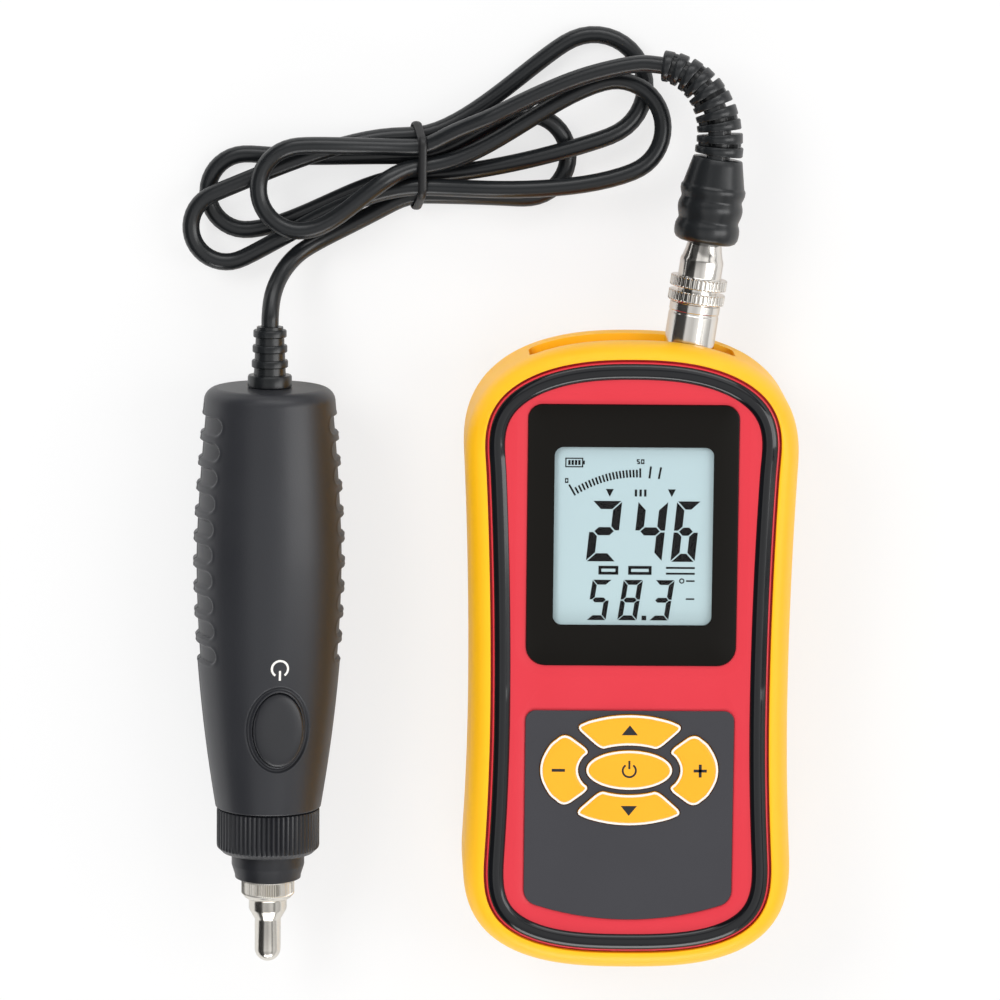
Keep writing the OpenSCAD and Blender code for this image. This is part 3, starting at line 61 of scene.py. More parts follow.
def add_camera():
    back = Vector((-math.tan(rad(LEFT)), math.tan(rad(TILT)), 1)).normalized()
    right = Vector((0, 1, 0)).cross(back).normalized()
    up = back.cross(right)
    c, s = math.cos(rad(ROLL)), math.sin(rad(ROLL))
    right, up = right * c + up * s, up * c - right * s
    bpy.ops.object.camera_add()
    camera = bpy.context.object
    camera.name = "photo_camera"
    place = Matrix((right, up, back)).transposed().to_4x4()
    place.translation = (AIM + back * DISTANCE) * MM
    camera.matrix_world = place
    camera.data.sensor_width = SENSOR
    camera.data.lens = PIXELS_PER_MM * DISTANCE / 1000 * SENSOR
    camera.data.clip_end = 10
    bpy.context.scene.camera = camera


def soft_step(x):
    """Smooth rise from 0 to 1."""
    x = np.clip(x, 0, 1)
    return x * x * (3 - 2 * x)


# Shape tools


def deselect():
    if bpy.context.object and bpy.context.object.mode != "OBJECT":
        bpy.ops.object.mode_set(mode="OBJECT")
    bpy.ops.object.select_all(action="DESELECT")


def drawn_from(vertex):
    """Index of the selected corner that was just extruded from this one."""
    others = (edge.other_vert(vertex) for edge in vertex.link_edges)
    return next(other.index for other in others if other.select)


def extrude_rings(name, rings, joined=False):
    """A circle extruded ring by ring, each ring laid on its points in millimetres."""
    count = len(rings[0])
    deselect()
    bpy.ops.mesh.primitive_circle_add(vertices=count, radius=MM, fill_type="NOTHING")
    obj = bpy.context.object
    obj.name = obj.data.name = name
    bpy.ops.object.mode_set(mode="EDIT")
    bpy.ops.mesh.select_all(action="SELECT")
    current = list(range(count))
    mesh = bmesh.from_edit_mesh(obj.data)
    for k, points in enumerate(rings):
        if k:
            bpy.ops.mesh.extrude_region_move()
            mesh = bmesh.from_edit_mesh(obj.data)
            mesh.verts.ensure_lookup_table()
            mesh.verts.index_update()
            current = [drawn_from(mesh.verts[i]) for i in current]
        mesh.verts.ensure_lookup_table()
        for i, p in zip(current, points):
            mesh.verts[i].co = Vector(p) * MM
    bmesh.update_edit_mesh(obj.data)
    if joined:
        select_vertices(obj, set(range(count)) | set(current))
        bpy.ops.mesh.bridge_edge_loops()
    else:
        bpy.ops.mesh.edge_face_add()
        select_vertices(obj, set(range(count)))
        bpy.ops.mesh.edge_face_add()
    bpy.ops.mesh.select_all(action="SELECT")
    bpy.ops.mesh.remove_doubles(threshold=MERGE)
    bpy.ops.mesh.normals_make_consistent(inside=False)
    bpy.ops.object.mode_set(mode="OBJECT")
    return obj


def select_vertices(obj, indices):
    mesh = bmesh.from_edit_mesh(obj.data)
    bpy.ops.mesh.select_all(action="DESELECT")
    bpy.context.tool_settings.mesh_select_mode = (True, False, False)
    mesh.verts.ensure_lookup_table()
    for i in indices:
        mesh.verts[i].select = True
    mesh.select_flush(True)
    bmesh.update_edit_mesh(obj.data)


def wrapped_grid(name, columns, rows, points):
    """A grid primitive whose corners are moved onto points, rows by columns, in millimetres."""
    deselect()
    bpy.ops.mesh.primitive_grid_add(x_subdivisions=columns - 1, y_subdivisions=rows - 1, size=MM)
    obj = bpy.context.object
    obj.name = obj.data.name = name
    obj.data.vertices.foreach_set("co", (np.asarray(points, float) * MM).ravel())
    obj.data.update()
    return obj


def cut_away(obj, *cutters):
    """Take the cutters out of the piece and remove them."""
    for cutter in cutters:
        deselect()
        obj.select_set(True)
        bpy.context.view_layer.objects.active = obj
        cut = obj.modifiers.new("cut", "BOOLEAN")
        cut.operation, cut.solver, cut.object = "DIFFERENCE", "EXACT", cutter
        bpy.ops.object.modifier_apply(modifier=cut.name)
        bpy.data.objects.remove(cutter, do_unlink=True)
    return obj


def soften_edges(obj, width, steps, angle):
    """A small round on every edge sharper than the angle."""
    deselect()
    obj.select_set(True)
    bpy.context.view_layer.objects.active = obj
    bevel = obj.modifiers.new("edge", "BEVEL")
    bevel.width, bevel.segments = width * MM, steps
    bevel.limit_method, bevel.angle_limit = "ANGLE", rad(angle)
    bevel.use_clamp_overlap = True
    bpy.ops.object.modifier_apply(modifier=bevel.name)
    return obj


def join(name, pieces):
    deselect()
    for p in pieces:
        p.select_set(True)
    bpy.context.view_layer.objects.active = pieces[0]
    bpy.ops.object.join()
    pieces[0].name = pieces[0].data.name = name
    return pieces[0]


def finish_piece(obj, finish, body, *nodes, sharp=35):
    """Smooth, give the finish, put the place into the mesh, and ride on a body."""
    deselect()
    obj.select_set(True)
    bpy.context.view_layer.objects.active = obj
    bpy.ops.object.transform_apply(location=True, rotation=True, scale=True)
    bpy.ops.object.shade_smooth_by_angle(angle=rad(sharp))
    if not obj.data.materials:
        obj.data.materials.append(finish)
    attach(obj, body)
    if nodes:
        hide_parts(*nodes)
    return obj


# Materials


def linear(hex_colour):
    """sRGB hex to the linear colour that shaders take."""
    values = [int(hex_colour[i : i + 2], 16) / 255 for i in (1, 3, 5)]
    return [v / 12.92 if v <= 0.04045 else ((v + 0.055) / 1.055) ** 2.4 for v in values] + [1]


def add(tree, kind, links=None, inputs=None, **settings):
    """One node, with its settings, socket values and incoming links."""
    made = tree.nodes.new(kind)
    for key, value in settings.items():
        setattr(made, key, value)
    for key, value in (inputs or {}).items():
        made.inputs[key].default_value = value
    for key, source in (links or {}).items():
        tree.links.new(source, made.inputs[key])
    return made


def blank(name):
    """A material with only its output, and the object coordinates of the piece."""
    made = bpy.data.materials.new(name)
    made.use_nodes = True
    tree = made.node_tree
    tree.nodes.clear()
    place = add(tree, "ShaderNodeTexCoord").outputs["Object"]
    return made, tree, place


def close(tree, shader):
    add(tree, "ShaderNodeOutputMaterial", links={"Surface": shader.outputs[0]})


def moulded(name, colour, shade, roughness, grain_mm, bump, mottle_mm=18, specular=0.5):
    """A moulded surface: slow mottle between two close colours and a fine tool texture.

    grain_mm is the size of the texture left by the tool, bump its height in metres.
    """
    made, tree, place = blank(name)
    slow = add(tree, "ShaderNodeTexNoise", links={"Vector": place},
               inputs={"Scale": 1000 / mottle_mm, "Detail": 3.0, "Roughness": 0.55})
    colours = add(tree, "ShaderNodeMix", data_type="RGBA", links={"Factor": slow.outputs["Fac"]},
                  inputs={6: linear(colour), 7: linear(shade)})
    fine = add(tree, "ShaderNodeTexNoise", links={"Vector": place},
               inputs={"Scale": 1000 / grain_mm, "Detail": 2.0, "Roughness": 0.6})
    gloss = add(tree, "ShaderNodeMapRange", links={"Value": slow.outputs["Fac"]},
                inputs={"To Min": roughness - 0.04, "To Max": roughness + 0.05})
    relief = add(tree, "ShaderNodeBump", links={"Height": fine.outputs["Fac"]},
                 inputs={"Strength": 0.6, "Distance": bump})
    shader = add(tree, "ShaderNodeBsdfPrincipled",
                 links={"Base Color": colours.outputs[2], "Roughness": gloss.outputs[0],
                        "Normal": relief.outputs[0]}, inputs={"Specular IOR Level": specular})
    close(tree, shader)
    return made


def metal(name, colour, roughness, scratch_mm, stretch):
    """A metal turned on a lathe: fine marks drawn out along one axis of the part."""
    made, tree, place = blank(name)
    turned = add(tree, "ShaderNodeMapping", links={"Vector": place}, inputs={"Scale": stretch})
    marks = add(tree, "ShaderNodeTexNoise", links={"Vector": turned.outputs[0]},
                inputs={"Scale": 1000 / scratch_mm, "Detail": 4.0, "Roughness": 0.6})
    # the marks are a little darker than the metal between them
    dark = [0.82 * c for c in linear(colour)[:3]] + [1]
    tint = add(tree, "ShaderNodeMix", data_type="RGBA", links={"Factor": marks.outputs["Fac"]},
               inputs={6: linear(colour), 7: dark})
    gloss = add(tree, "ShaderNodeMapRange", links={"Value": marks.outputs["Fac"]},
                inputs={"To Min": roughness - 0.05, "To Max": roughness + 0.07})
    relief = add(tree, "ShaderNodeBump", links={"Height": marks.outputs["Fac"]},
                 inputs={"Strength": 0.12, "Distance": 0.00004})
    shader = add(tree, "ShaderNodeBsdfPrincipled",
                 links={"Base Color": tint.outputs[2], "Roughness": gloss.outputs[0],
                        "Normal": relief.outputs[0]}, inputs={"Metallic": 1.0})
    close(tree, shader)
    return made


# Moulded thermoplastic elastomer: satin, with a faint mottle and a soft fine texture
boot_rubber = moulded("boot_elastomer", "#FFBB09", "#FFC110", 0.42, 0.6, 0.00003)
# Injection moulded ABS: even colour, satin gloss
case_abs = moulded("case_abs", "#D62D3B", "#DA3341", 0.36, 0.5, 0.00002)
# Polished black ABS: sharp reflections, a faint blue cast
ring_abs = moulded("ring_polished_abs", "#0C0D10", "#101216", 0.12, 2.0, 0.000005)
# Back-printed acrylic: near black and glossy
lens_print = moulded("lens_black_print", "#12100E", "#14120F", 0.14, 3.0, 0.000003, specular=0.12)
# Keypad film, polycarbonate with a fine embossed grain
pad_film = moulded("keypad_film", "#313136", "#36363B", 0.42, 0.35, 0.00003)
# Silicone key caps under a clear coat
key_silicone = moulded("key_silicone", "#F8AD1A", "#FAB322", 0.34, 0.6, 0.00001)
# White screen print
white_ink = moulded("white_print", "#F4F2EC", "#ECEAE4", 0.45, 0.4, 0.00001)
# Dark screen print
dark_ink = moulded("dark_print", "#16181A", "#1C1E20", 0.5, 0.4, 0.00001)
# Driven segments of the display: matt and almost black
display_ink = moulded("display_segments_dark", "#08080A", "#0A0A0C", 0.6, 0.4, 0.000002, specular=0.05)
# Probe body, ABS with a spark-eroded tool texture
probe_abs = moulded("probe_abs", "#25262A", "#2A2B2F", 0.38, 0.45, 0.00003)
# Black moulded nylon of the collar and nose
nose_nylon = moulded("nose_nylon", "#1A1B1F", "#202125", 0.36, 0.5, 0.00002)
# Soft PVC of cord, plug boot and reliefs: slightly shiny
cord_pvc = moulded("cord_pvc", "#16181A", "#1B1D1F", 0.28, 1.2, 0.00002)
# Nylon band of the tie
tie_nylon = moulded("tie_nylon", "#141415", "#1B1B1C", 0.4, 0.6, 0.00003)
# Glass-fibre board under green solder resist
board_resist = moulded("solder_resist", "#17633B", "#1F7347", 0.3, 0.8, 0.00002)
# White moulded frame and light plate
white_plastic = moulded("white_abs", "#E9EAE6", "#DFE1DC", 0.45, 0.6, 0.00002)
# Layered conductive elastomer
zebra_rubber = moulded("zebra_rubber", "#D98AA0", "#C87990", 0.5, 0.3, 0.00002)
# Battery jacket, printed steel
cell_jacket = moulded("cell_jacket", "#2E3238", "#3B4047", 0.3, 1.0, 0.00001)
# Fired ceramic discs
ceramic = moulded("piezo_ceramic", "#E3DCCB", "#D8D0BD", 0.5, 0.3, 0.00001)
# Black moulded parts inside
inner_black = moulded("inner_black", "#1B1C1E", "#222326", 0.45, 0.5, 0.00002)
# Nickel plate over turned brass: bright, slightly warm
nickel = metal("nickel_plate", "#E4E0DA", 0.13, 0.5, (1, 0.05, 1))
# Turned stainless steel
steel = metal("turned_steel", "#E2DED6", 0.18, 0.4, (1, 12, 1))
# Zinc plated screws
zinc = metal("zinc_screws", "#A8A9AA", 0.3, 0.4, (1, 1, 6))


def display_glass():
    """Liquid crystal glass over a pale reflector: cool, with painted light that leaves it a touch paler at its foot.
    """
    made, tree, place = blank("display_reflector")
    parts = add(tree, "ShaderNodeSeparateXYZ", links={"Vector": place})
    # painted light: the reflector's colour goes a touch paler towards its foot
    painted_light_ramp = add(tree, "ShaderNodeMapRange", links={"Value": parts.outputs["Y"]},
               inputs={"From Min": 0.008, "From Max": 0.057, "To Min": 0.0, "To Max": 1.0})
    colours = add(tree, "ShaderNodeMix", data_type="RGBA", links={"Factor": painted_light_ramp.outputs[0]},
                  inputs={6: linear("#B4CACE"), 7: linear("#B2C8CD")})
    grain = add(tree, "ShaderNodeTexNoise", links={"Vector": place}, inputs={"Scale": 5000.0})
    relief = add(tree, "ShaderNodeBump", links={"Height": grain.outputs["Fac"]},
                 inputs={"Strength": 0.1, "Distance": 0.00001})
    shader = add(tree, "ShaderNodeBsdfPrincipled",
                 links={"Base Color": colours.outputs[2], "Normal": relief.outputs[0]},
                 inputs={"Roughness": 0.35})
    close(tree, shader)
    return made


def clear_acrylic():
    """Clear part of the window: lets the display through at every angle, with a little gloss."""
    made, tree, _ = blank("window_clear")
    through = add(tree, "ShaderNodeBsdfTransparent")
    shine = add(tree, "ShaderNodeBsdfGlossy", inputs={"Roughness": 0.04})
    both = add(tree, "ShaderNodeMixShader", inputs={0: 0.012},
               links={1: through.outputs[0], 2: shine.outputs[0]})
    close(tree, both)
    return made


display_reflector = display_glass()
window_clear = clear_acrylic()

# Outline of the meter: the kind of curve that the solids have, in finer steps and fitted to the photo
HALF_LEN, SIDE_REACH, WAIST_Y = 82.0, 50.0, -12.0
TOP_W, WAIST_W, FOOT_W = 85.6, 82.3, 84.5
TOP_POWER, FOOT_POWER = 2.4, 2.7
OUTLINE_POINTS = 256


def side_half(y):
    above = y > WAIST_Y
    swell = ((TOP_W if above else FOOT_W) - WAIST_W) / 2
    reach = SIDE_REACH - WAIST_Y if above else SIDE_REACH + WAIST_Y
    return WAIST_W / 2 + swell * ((y - WAIST_Y) / reach) ** 2


def even_closed(points, count):
    """Points at even steps along a closed curve."""
    closed = np.vstack([points, points[:1]])
    run = np.concatenate([[0], np.cumsum(np.linalg.norm(np.diff(closed, axis=0), axis=1))])
    even = np.linspace(0, run[-1], count + 1)[:-1]
    return np.column_stack([np.interp(even, run, closed[:, k]) for k in (0, 1)])


def meter_outline(corner_steps=36, side_steps=20):
    def corner(a, power, end):
        s, c = max(math.sin(rad(a)), 0), max(math.cos(rad(a)), 0)
        y = end * (SIDE_REACH + (HALF_LEN - SIDE_REACH) * s ** (2 / power))
        return side_half(y) * c ** (2 / power), y

    right = [corner(90 - 90 * i / corner_steps, FOOT_POWER, -1) for i in range(corner_steps + 1)]
    sides = (SIDE_REACH * (2 * j / side_steps - 1) for j in range(1, side_steps))
    right += [(side_half(y), y) for y in sides]
    right += [corner(90 * i / corner_steps, TOP_POWER, 1) for i in range(corner_steps + 1)]
    # even steps along the curve, so that every ring is evenly faced
    return even_closed(np.array(right + [(-x, y) for x, y in right[-2:0:-1]]), OUTLINE_POINTS)


outline = meter_outline()
ahead, behind = np.roll(outline, -1, 0), np.roll(outline, 1, 0)
along = (ahead - behind) / np.linalg.norm(ahead - behind, axis=1)[:, None]
outline_in = np.column_stack([-along[:, 1], along[:, 0]])

# The lip and all that it frames stand nearer to the end wall at the socket end
HEAD_SHIFT = 1.5 * soft_step((outline[:, 1] - 48) / 26)
# Insets from which the shift sets in, and over how much more
SHIFT_FROM, SHIFT_OVER = 3.2, 1.8


def meter_ring(inset, z):
    moved_in = inset - HEAD_SHIFT * soft_step((inset - SHIFT_FROM) / SHIFT_OVER)
    return [(x, y, z) for x, y in outline + moved_in[:, None] * outline_in]


def meter_rings(*places):
    return [meter_ring(inset, z) for inset, z in places]


def arc(centre, radius, start, end, steps):
    return [(centre[0] + radius * math.cos(rad(a)), centre[1] + radius * math.sin(rad(a)))
            for a in np.linspace(start, end, steps + 1)]


def round_box(width, y0, y1, r0, r1, steps=8):
    w = width / 2
    return (arc((w - r0, y0 + r0), r0, -90, 0, steps) + arc((w - r1, y1 - r1), r1, 0, 90, steps)
            + arc((r1 - w, y1 - r1), r1, 90, 180, steps) + arc((r0 - w, y0 + r0), r0, 180, 270, steps))


def ellipse(a, b, steps):
    return [(a * math.cos(t), b * math.sin(t)) for t in (2 * math.pi * i / steps for i in range(steps))]


def flat_rings(*pairs):
    """Level rings, from pairs of outline and height."""
    return [[(x, y, z) for x, y in points] for points, z in pairs]


def prism(name, points, z0, z1):
    return extrude_rings(name, flat_rings((points, z0), (points, z1)))


def grown(points, distance):
    """A closed counterclockwise outline moved outwards."""
    p = np.array(points)
    t = np.roll(p, -1, 0) - np.roll(p, 1, 0)
    t /= np.linalg.norm(t, axis=1)[:, None]
    return [tuple(v) for v in p + distance * np.column_stack([t[:, 1], -t[:, 0]])]


# Heights of the meter, its walls and insets
FACE_Z, LIP_Z, STEP_Z = 37.0, 37.0, 34.7
BOOT_WALL, BOOT_BACK, BOOT_LIP, LIP_H, BACK_R = 3.0, 2.6, 5.2, 8.5, 5.0
CASE_INSET, CASE_WALL, RAISED_INSET = 3.2, 2.2, 5.8
RING_INSET, RING_W, GROOVE = 6.2, 4.1, 1.0
JOINT_Z, FACE_INNER, PLUG_Z = 18.0, 34.6, 19.0
# How far down the recesses of the face reach, and the lowest and highest end of a cutter
WINDOW_SEAT, PAD_SEAT, CUT_LOW, CUT_TOP = 35.9, 36.6, 30, 40
# Stretch of the trim ring that is pinched, how deep, and over what length the pinch sets in
SIDE_FOOT, SIDE_HEAD, PINCH, PINCH_FADE = -8.5, 55.0, 0.16, 1.2
SLOT_W, SLOT_H, SLOT_R = 53.0, 14.0, 2.5
# Width, foot, head and corner radii of the window, its recess, the opening under it (with its steps
# to a corner) and the boot's opening over the battery door
WINDOW = (53.9, -0.9, 66.7, 5, 3.7)
WINDOW_CUT = (54.2, -1.05, 66.85, 5, 3.7)
FRAME_CUT = (47.4, 6.1, 59.2, 0.15, 0.15, 1)
DOOR_OPENING = (38, -69, -6, 2, 2)
# Radii of the socket's bore and seat in the case
BORE_R, SEAT_R = 5.87, 7.6


def add_boot():
    """Soft boot: one skin from the rest face round the outside, over the lip and down the inside."""
    rings = [meter_ring(BACK_R * (1 - math.sin(a)), BACK_R * (1 - math.cos(a)))
             for a in np.radians(np.linspace(0, 90, 9))]
    rings += meter_rings((0, 12), (0, 19), (0, 25))
    rings += [meter_ring(BOOT_LIP * (1 - math.cos(a)) * 0.96, LIP_Z - LIP_H * (1 - math.sin(a)))
              for a in np.radians(np.linspace(0, 90, 13))]
    rings += meter_rings((BOOT_LIP - 0.06, LIP_Z - 0.04), (BOOT_LIP, LIP_Z - 0.2), (BOOT_LIP, STEP_Z + 0.35),
                         (BOOT_LIP - 0.15, STEP_Z + 0.2), (BOOT_WALL, STEP_Z + 0.2),
                         (BOOT_WALL, BOOT_BACK + 0.4), (BOOT_WALL + 0.4, BOOT_BACK))
    boot = extrude_rings("boot", rings)
    profile = round_box(SLOT_W, -SLOT_H / 2, SLOT_H / 2, SLOT_R, SLOT_R)
    slot = extrude_rings("slot", [[(x, y, PLUG_Z + z) for x, z in profile] for y in (60, 90)])
    cut_away(boot, slot, prism("door_opening", round_box(*DOOR_OPENING), -1, BOOT_BACK + 1))
    soften_edges(boot, 0.5, 3, 50)
    return finish_piece(boot, boot_rubber, "meter", "holster")


def add_case_front():
    """Front shell: raised face, side wall, and the recesses for window and keypad."""
    raised_in, case_in, ring_in = RAISED_INSET + CASE_WALL, CASE_INSET + CASE_WALL, RING_INSET + RING_W
    case = extrude_rings("case_front", meter_rings(
        (raised_in, FACE_INNER), (raised_in, STEP_Z - CASE_WALL), (case_in, STEP_Z - CASE_WALL), (case_in, JOINT_Z),
        (CASE_INSET + 0.25, JOINT_Z), (CASE_INSET, JOINT_Z + 0.25), (CASE_INSET, STEP_Z - 0.6),
        (CASE_INSET + 0.2, STEP_Z - 0.15), (CASE_INSET + 0.6, STEP_Z), (RAISED_INSET, STEP_Z),
        (RAISED_INSET, FACE_Z - 0.35), (RAISED_INSET + 0.1, FACE_Z - 0.1), (RAISED_INSET + 0.35, FACE_Z),
        (RING_INSET, FACE_Z), (RING_INSET, FACE_Z - GROOVE), (ring_in, FACE_Z - GROOVE), (ring_in, FACE_Z),
        (ring_in + 1, FACE_Z)))
    edge = window_outline(0)
    cutters = [
        extrude_rings("lens_dish", flat_rings(
            (grown(edge, 0.1), FACE_Z - 0.32), (grown(edge, 2.6), FACE_Z - 0.03), (grown(edge, 3.0), FACE_Z),
            (grown(edge, 3.0), CUT_TOP))),
        extrude_rings("pad_dish", flat_rings(
            (pad_points(0.1), FACE_Z - 0.3), (pad_points(0.9), FACE_Z), (pad_points(0.9), CUT_TOP))),
        prism("lens_cut", round_box(*WINDOW_CUT), WINDOW_SEAT, CUT_TOP),
        prism("frame_cut", round_box(*FRAME_CUT), CUT_LOW, CUT_TOP),
        prism("pad_cut", pad_points(0.15), PAD_SEAT, CUT_TOP),
        *key_cutters(),
        barrel("bore", (plug_point((0, 0, -17)), plug_point((0, 0, 9))), BORE_R),
        barrel("seat", (plug_point((0, 0, -4.2)), plug_point((0, 0, 9))), SEAT_R),
    ]
    cut_away(case, *cutters)
    return finish_piece(case, case_abs, "meter", "front_case")


def add_trim_ring():
    """Polished ring round the face: flat crown between two wide bevels, pinched a little along the sides."""
    foot = FACE_Z - GROOVE
    outer, inner = RING_INSET + 0.05, RING_INSET + RING_W - 0.05
    # share of the ring's width, whether the pinch lowers it, and height
    profile = [(0, 0, foot), (0, 0, 37.05), (0.03, 0, 37.25), (0.09, 1, 37.5), (0.3, 1, 37.88), (0.36, 1, 37.94),
               (0.44, 1, 37.96), (0.68, 1, 37.96), (0.74, 1, 37.92), (0.8, 1, 37.8), (0.93, 1, 37.42),
               (0.97, 0, 37.2), (1, 0, 37.0), (1, 0, foot)]
    pinch = [soft_step((y - SIDE_FOOT) / PINCH_FADE) * soft_step((SIDE_HEAD - y) / PINCH_FADE) for _, y in outline]
    rings = [[(x, y, z - PINCH * drops * p)
              for (x, y, z), p in zip(meter_ring(outer + (inner - outer) * share, z), pinch)]
             for share, drops, z in profile]
    ring = extrude_rings("trim_ring_bevelled", rings, joined=True)
    return finish_piece(ring, ring_abs, "meter", "trim_ring", sharp=25)


# Plug places: along its axis from a datum at the boot's end wall
PLUG = Vector((14.9, 81.4, PLUG_Z))
LEAN = 8.0


def plug_point(p):
    x, y, z = p[0], p[2], -p[1]
    c, s = math.cos(rad(LEAN)), math.sin(rad(LEAN))
    return PLUG + Vector((x * c + y * s, -x * s + y * c, z))


def probe_point(p):
    """Probe frame to row frame: x across, y out of the probe's top, z along towards the cord."""
    x, y, z = p
    c, s = math.cos(rad(PROBE_ROLL)), math.sin(rad(PROBE_ROLL))
    return Vector((PROBE_X + x * c + y * s, z, PROBE_Z - x * s + y * c))


def barrel(name, ends, radius):
    start, end = Vector(ends[0]), Vector(ends[1])
    axis = (end - start).normalized()
    side = axis.orthogonal().normalized()
    up = axis.cross(side)
    ring = [radius * (math.cos(a) * side + math.sin(a) * up) for a in np.linspace(0, 2 * math.pi, 65)[:-1]]
    return extrude_rings(name, [[start + r for r in ring], [end + r for r in ring]])


def turned(name, profile, place, steps=96, ripple=None, **kw):
    """A profile of (radius, height) turned about a part's axis; ripple adds to each radius."""
    rings = []
    for r, h in profile:
        ring = []
        for k in range(steps):
            a = 2 * math.pi * k / steps
            w = r + (ripple(a, h, r) if ripple else 0)
            ring.append(place((w * math.cos(a), w * math.sin(a), h)))
        rings.append(ring)
    return extrude_rings(name, rings, **kw)


# Keys and keypad
KEY_Y = -28.3
KEYS = ("top", "left", "centre", "right", "bottom")
PAD_Z, KEY_TOP, KEY_FOOT, KEY_GAP, PAD_BOW = 37.2, 38.0, 33.65, 0.25, 78
FLANGE_Z = KEY_FOOT + 0.8
# Inset and drop below the top: the rings of a cap, and of the white print on its low rim
CAP = ((0, 0.5), (0.05, 0.38), (0.14, 0.33), (0.6, 0.31), (0.66, 0.18), (0.78, 0.07), (1.0, 0.015), (1.35, 0))
CAP_PRINT = ((0.06, 0.36), (0.15, 0.3), (0.62, 0.28), (0.62, 0.33))
CLUSTER, CENTRE = (23.0, 14.5), (11.1, 5.15)
# Middle angle, half spans of outer and inner edge, and how far the inner edge clears the centre key
SPANS = {"top": (90, 38, 34, (2.1, 1.35)), "bottom": (270, 38, 34, (2.1, 1.35)),
         "right": (0, 43, 40, (2.1, 2.6)), "left": (180, 43, 40, (2.1, 2.6))}


def moved(points, dy):
    return [(x, y + dy) for x, y in points]


def rounded(points, corner_ids, leg, steps=6):
    """Round the named corners by a quadratic curve that starts a leg before and ends a leg after."""
    p = [Vector(v) for v in points]
    out = []
    for i, v in enumerate(p):
        if i not in corner_ids:
            out.append(v)
            continue
        a, b = walk_back(p, i, -1, leg), walk_back(p, i, 1, leg)
        out += [(1 - s) ** 2 * a + 2 * s * (1 - s) * v + s * s * b for s in (k / steps for k in range(steps + 1))]
    # drop the points that a corner's curve has passed over
    kept = []
    for v in out:
        if not kept or (v - kept[-1]).length > 0.05:
            kept.append(v)
    return [tuple(v) for v in kept]


def walk_back(p, i, way, distance):
    step = p[(i + way) % len(p)] - p[i]
    return p[i] + step * min(distance / step.length, 0.45)


def ellipse_arc(a, b, start, end, steps):
    return [(a * math.cos(rad(t)), b * math.sin(rad(t))) for t in np.linspace(start, end, steps + 1)]


def key_points(key):
    if key == "centre":
        return ellipse(*CENTRE, 96)
    middle, span, inner_span, halo = SPANS[key]
    steps = 6 if key in ("top", "bottom") else 5
    outer = ellipse_arc(*CLUSTER, middle - span, middle + span, steps)
    inner = ellipse_arc(CENTRE[0] + halo[0], CENTRE[1] + halo[1], middle + inner_span, middle - inner_span, steps)
    return smooth_closed(rounded(outer + inner, (0, steps, steps + 1, 2 * steps + 1), 2.6), 120)


def through(a, b, c, d, t):
    """Point of the smooth curve from b to c that comes from a and goes on to d."""
    return 0.5 * (2 * b + (c - a) * t + (2 * a - 5 * b + 4 * c - d) * t * t + (3 * b - a - 3 * c + d) * t ** 3)


def smooth_closed(points, count):
    """An even closed curve of count points through a closed outline."""
    p = np.array(points)
    n = len(p)
    fine = [through(p[i - 1], p[i], p[(i + 1) % n], p[(i + 2) % n], t)
            for i in range(n) for t in np.linspace(0, 1, 7)[:-1]]
    return [tuple(v) for v in even_closed(np.array(fine), count).tolist()]


def pad_points(grow):
    half, r, bow = 26.9 + grow, 4.2, PAD_BOW + grow
    top, foot, top_r = -12.8 + grow, -67.8, 2.6
    centre_y = foot + PAD_BOW
    turn = math.degrees(math.asin((half - r) / (bow - r)))
    corner = (half - r, centre_y - (bow - r) * math.cos(rad(turn)))
    right = arc(corner, r, turn - 90, 0, 8) + arc((half - top_r, top - top_r), top_r, 0, 90, 8)
    left = [(-x, y) for x, y in right[::-1]]
    edge = arc((0, centre_y), bow, -90 - turn, turn - 90, 24)[1:-1]
    return right + left + edge


def inset_ring(points, distance):
    """The outline moved inwards, with the loops at tight corners drawn together."""
    p, q = np.array(points), np.array(grown(points, -distance))
    near = np.linalg.norm(q[:, None] - p[None], axis=2).min(axis=1)
    good = np.flatnonzero(near > 0.98 * distance - 0.004)
    ids = np.arange(len(p))
    drawn = [np.interp(ids, good, q[good, k], period=len(p)) for k in (0, 1)]
    return [tuple(v) for v in np.column_stack(drawn)]


def key_cutters():
    return [prism("key_cut", moved(grown(key_points(k), KEY_GAP), KEY_Y), CUT_LOW, CUT_TOP) for k in KEYS]


def add_keypad():
    sheet = extrude_rings("keypad_film", flat_rings(
        (pad_points(0), 36.65), (pad_points(0), PAD_Z - 0.12), (pad_points(-0.12), PAD_Z)))
    cut_away(sheet, *key_cutters())
    finish_piece(sheet, pad_film, "meter", "keypad_sheet")
    for key in KEYS:
        base = moved(key_points(key), KEY_Y)
        flange = grown(base, 0.7 if key == "centre" else 0.35)
        rings = flat_rings((flange, KEY_FOOT), (flange, FLANGE_Z), (inset_ring(base, 0), FLANGE_Z))
        rings += flat_rings(*[(inset_ring(base, d), KEY_TOP - drop) for d, drop in CAP])
        finish_piece(extrude_rings("key_cap_" + key, rings), key_silicone, "key_" + key, "key_" + key)
        rings = flat_rings(*[(inset_ring(base, d), KEY_TOP - drop) for d, drop in CAP_PRINT])
        finish_piece(extrude_rings("key_line_" + key, rings, joined=True), white_ink, "key_" + key)


# Cord: the same route as in the solids, in millimetres
CORD_D, STEP = 4.5, 5.1
TIE_GAP, TIE_SLANT = 0.6, 0.2
TIE_X, TIE_Y, LOW_Z = -55.4, 124.4, 4.2
HIGH_Z = LOW_Z + math.sqrt(STEP * STEP * 3 / 4)


def low_slot(i):
    return np.array([TIE_X, TIE_Y + STEP * (1.5 - i), LOW_Z])


def high_slot(i):
    return np.array([TIE_X, TIE_Y + STEP * (1 - i), HIGH_Z])


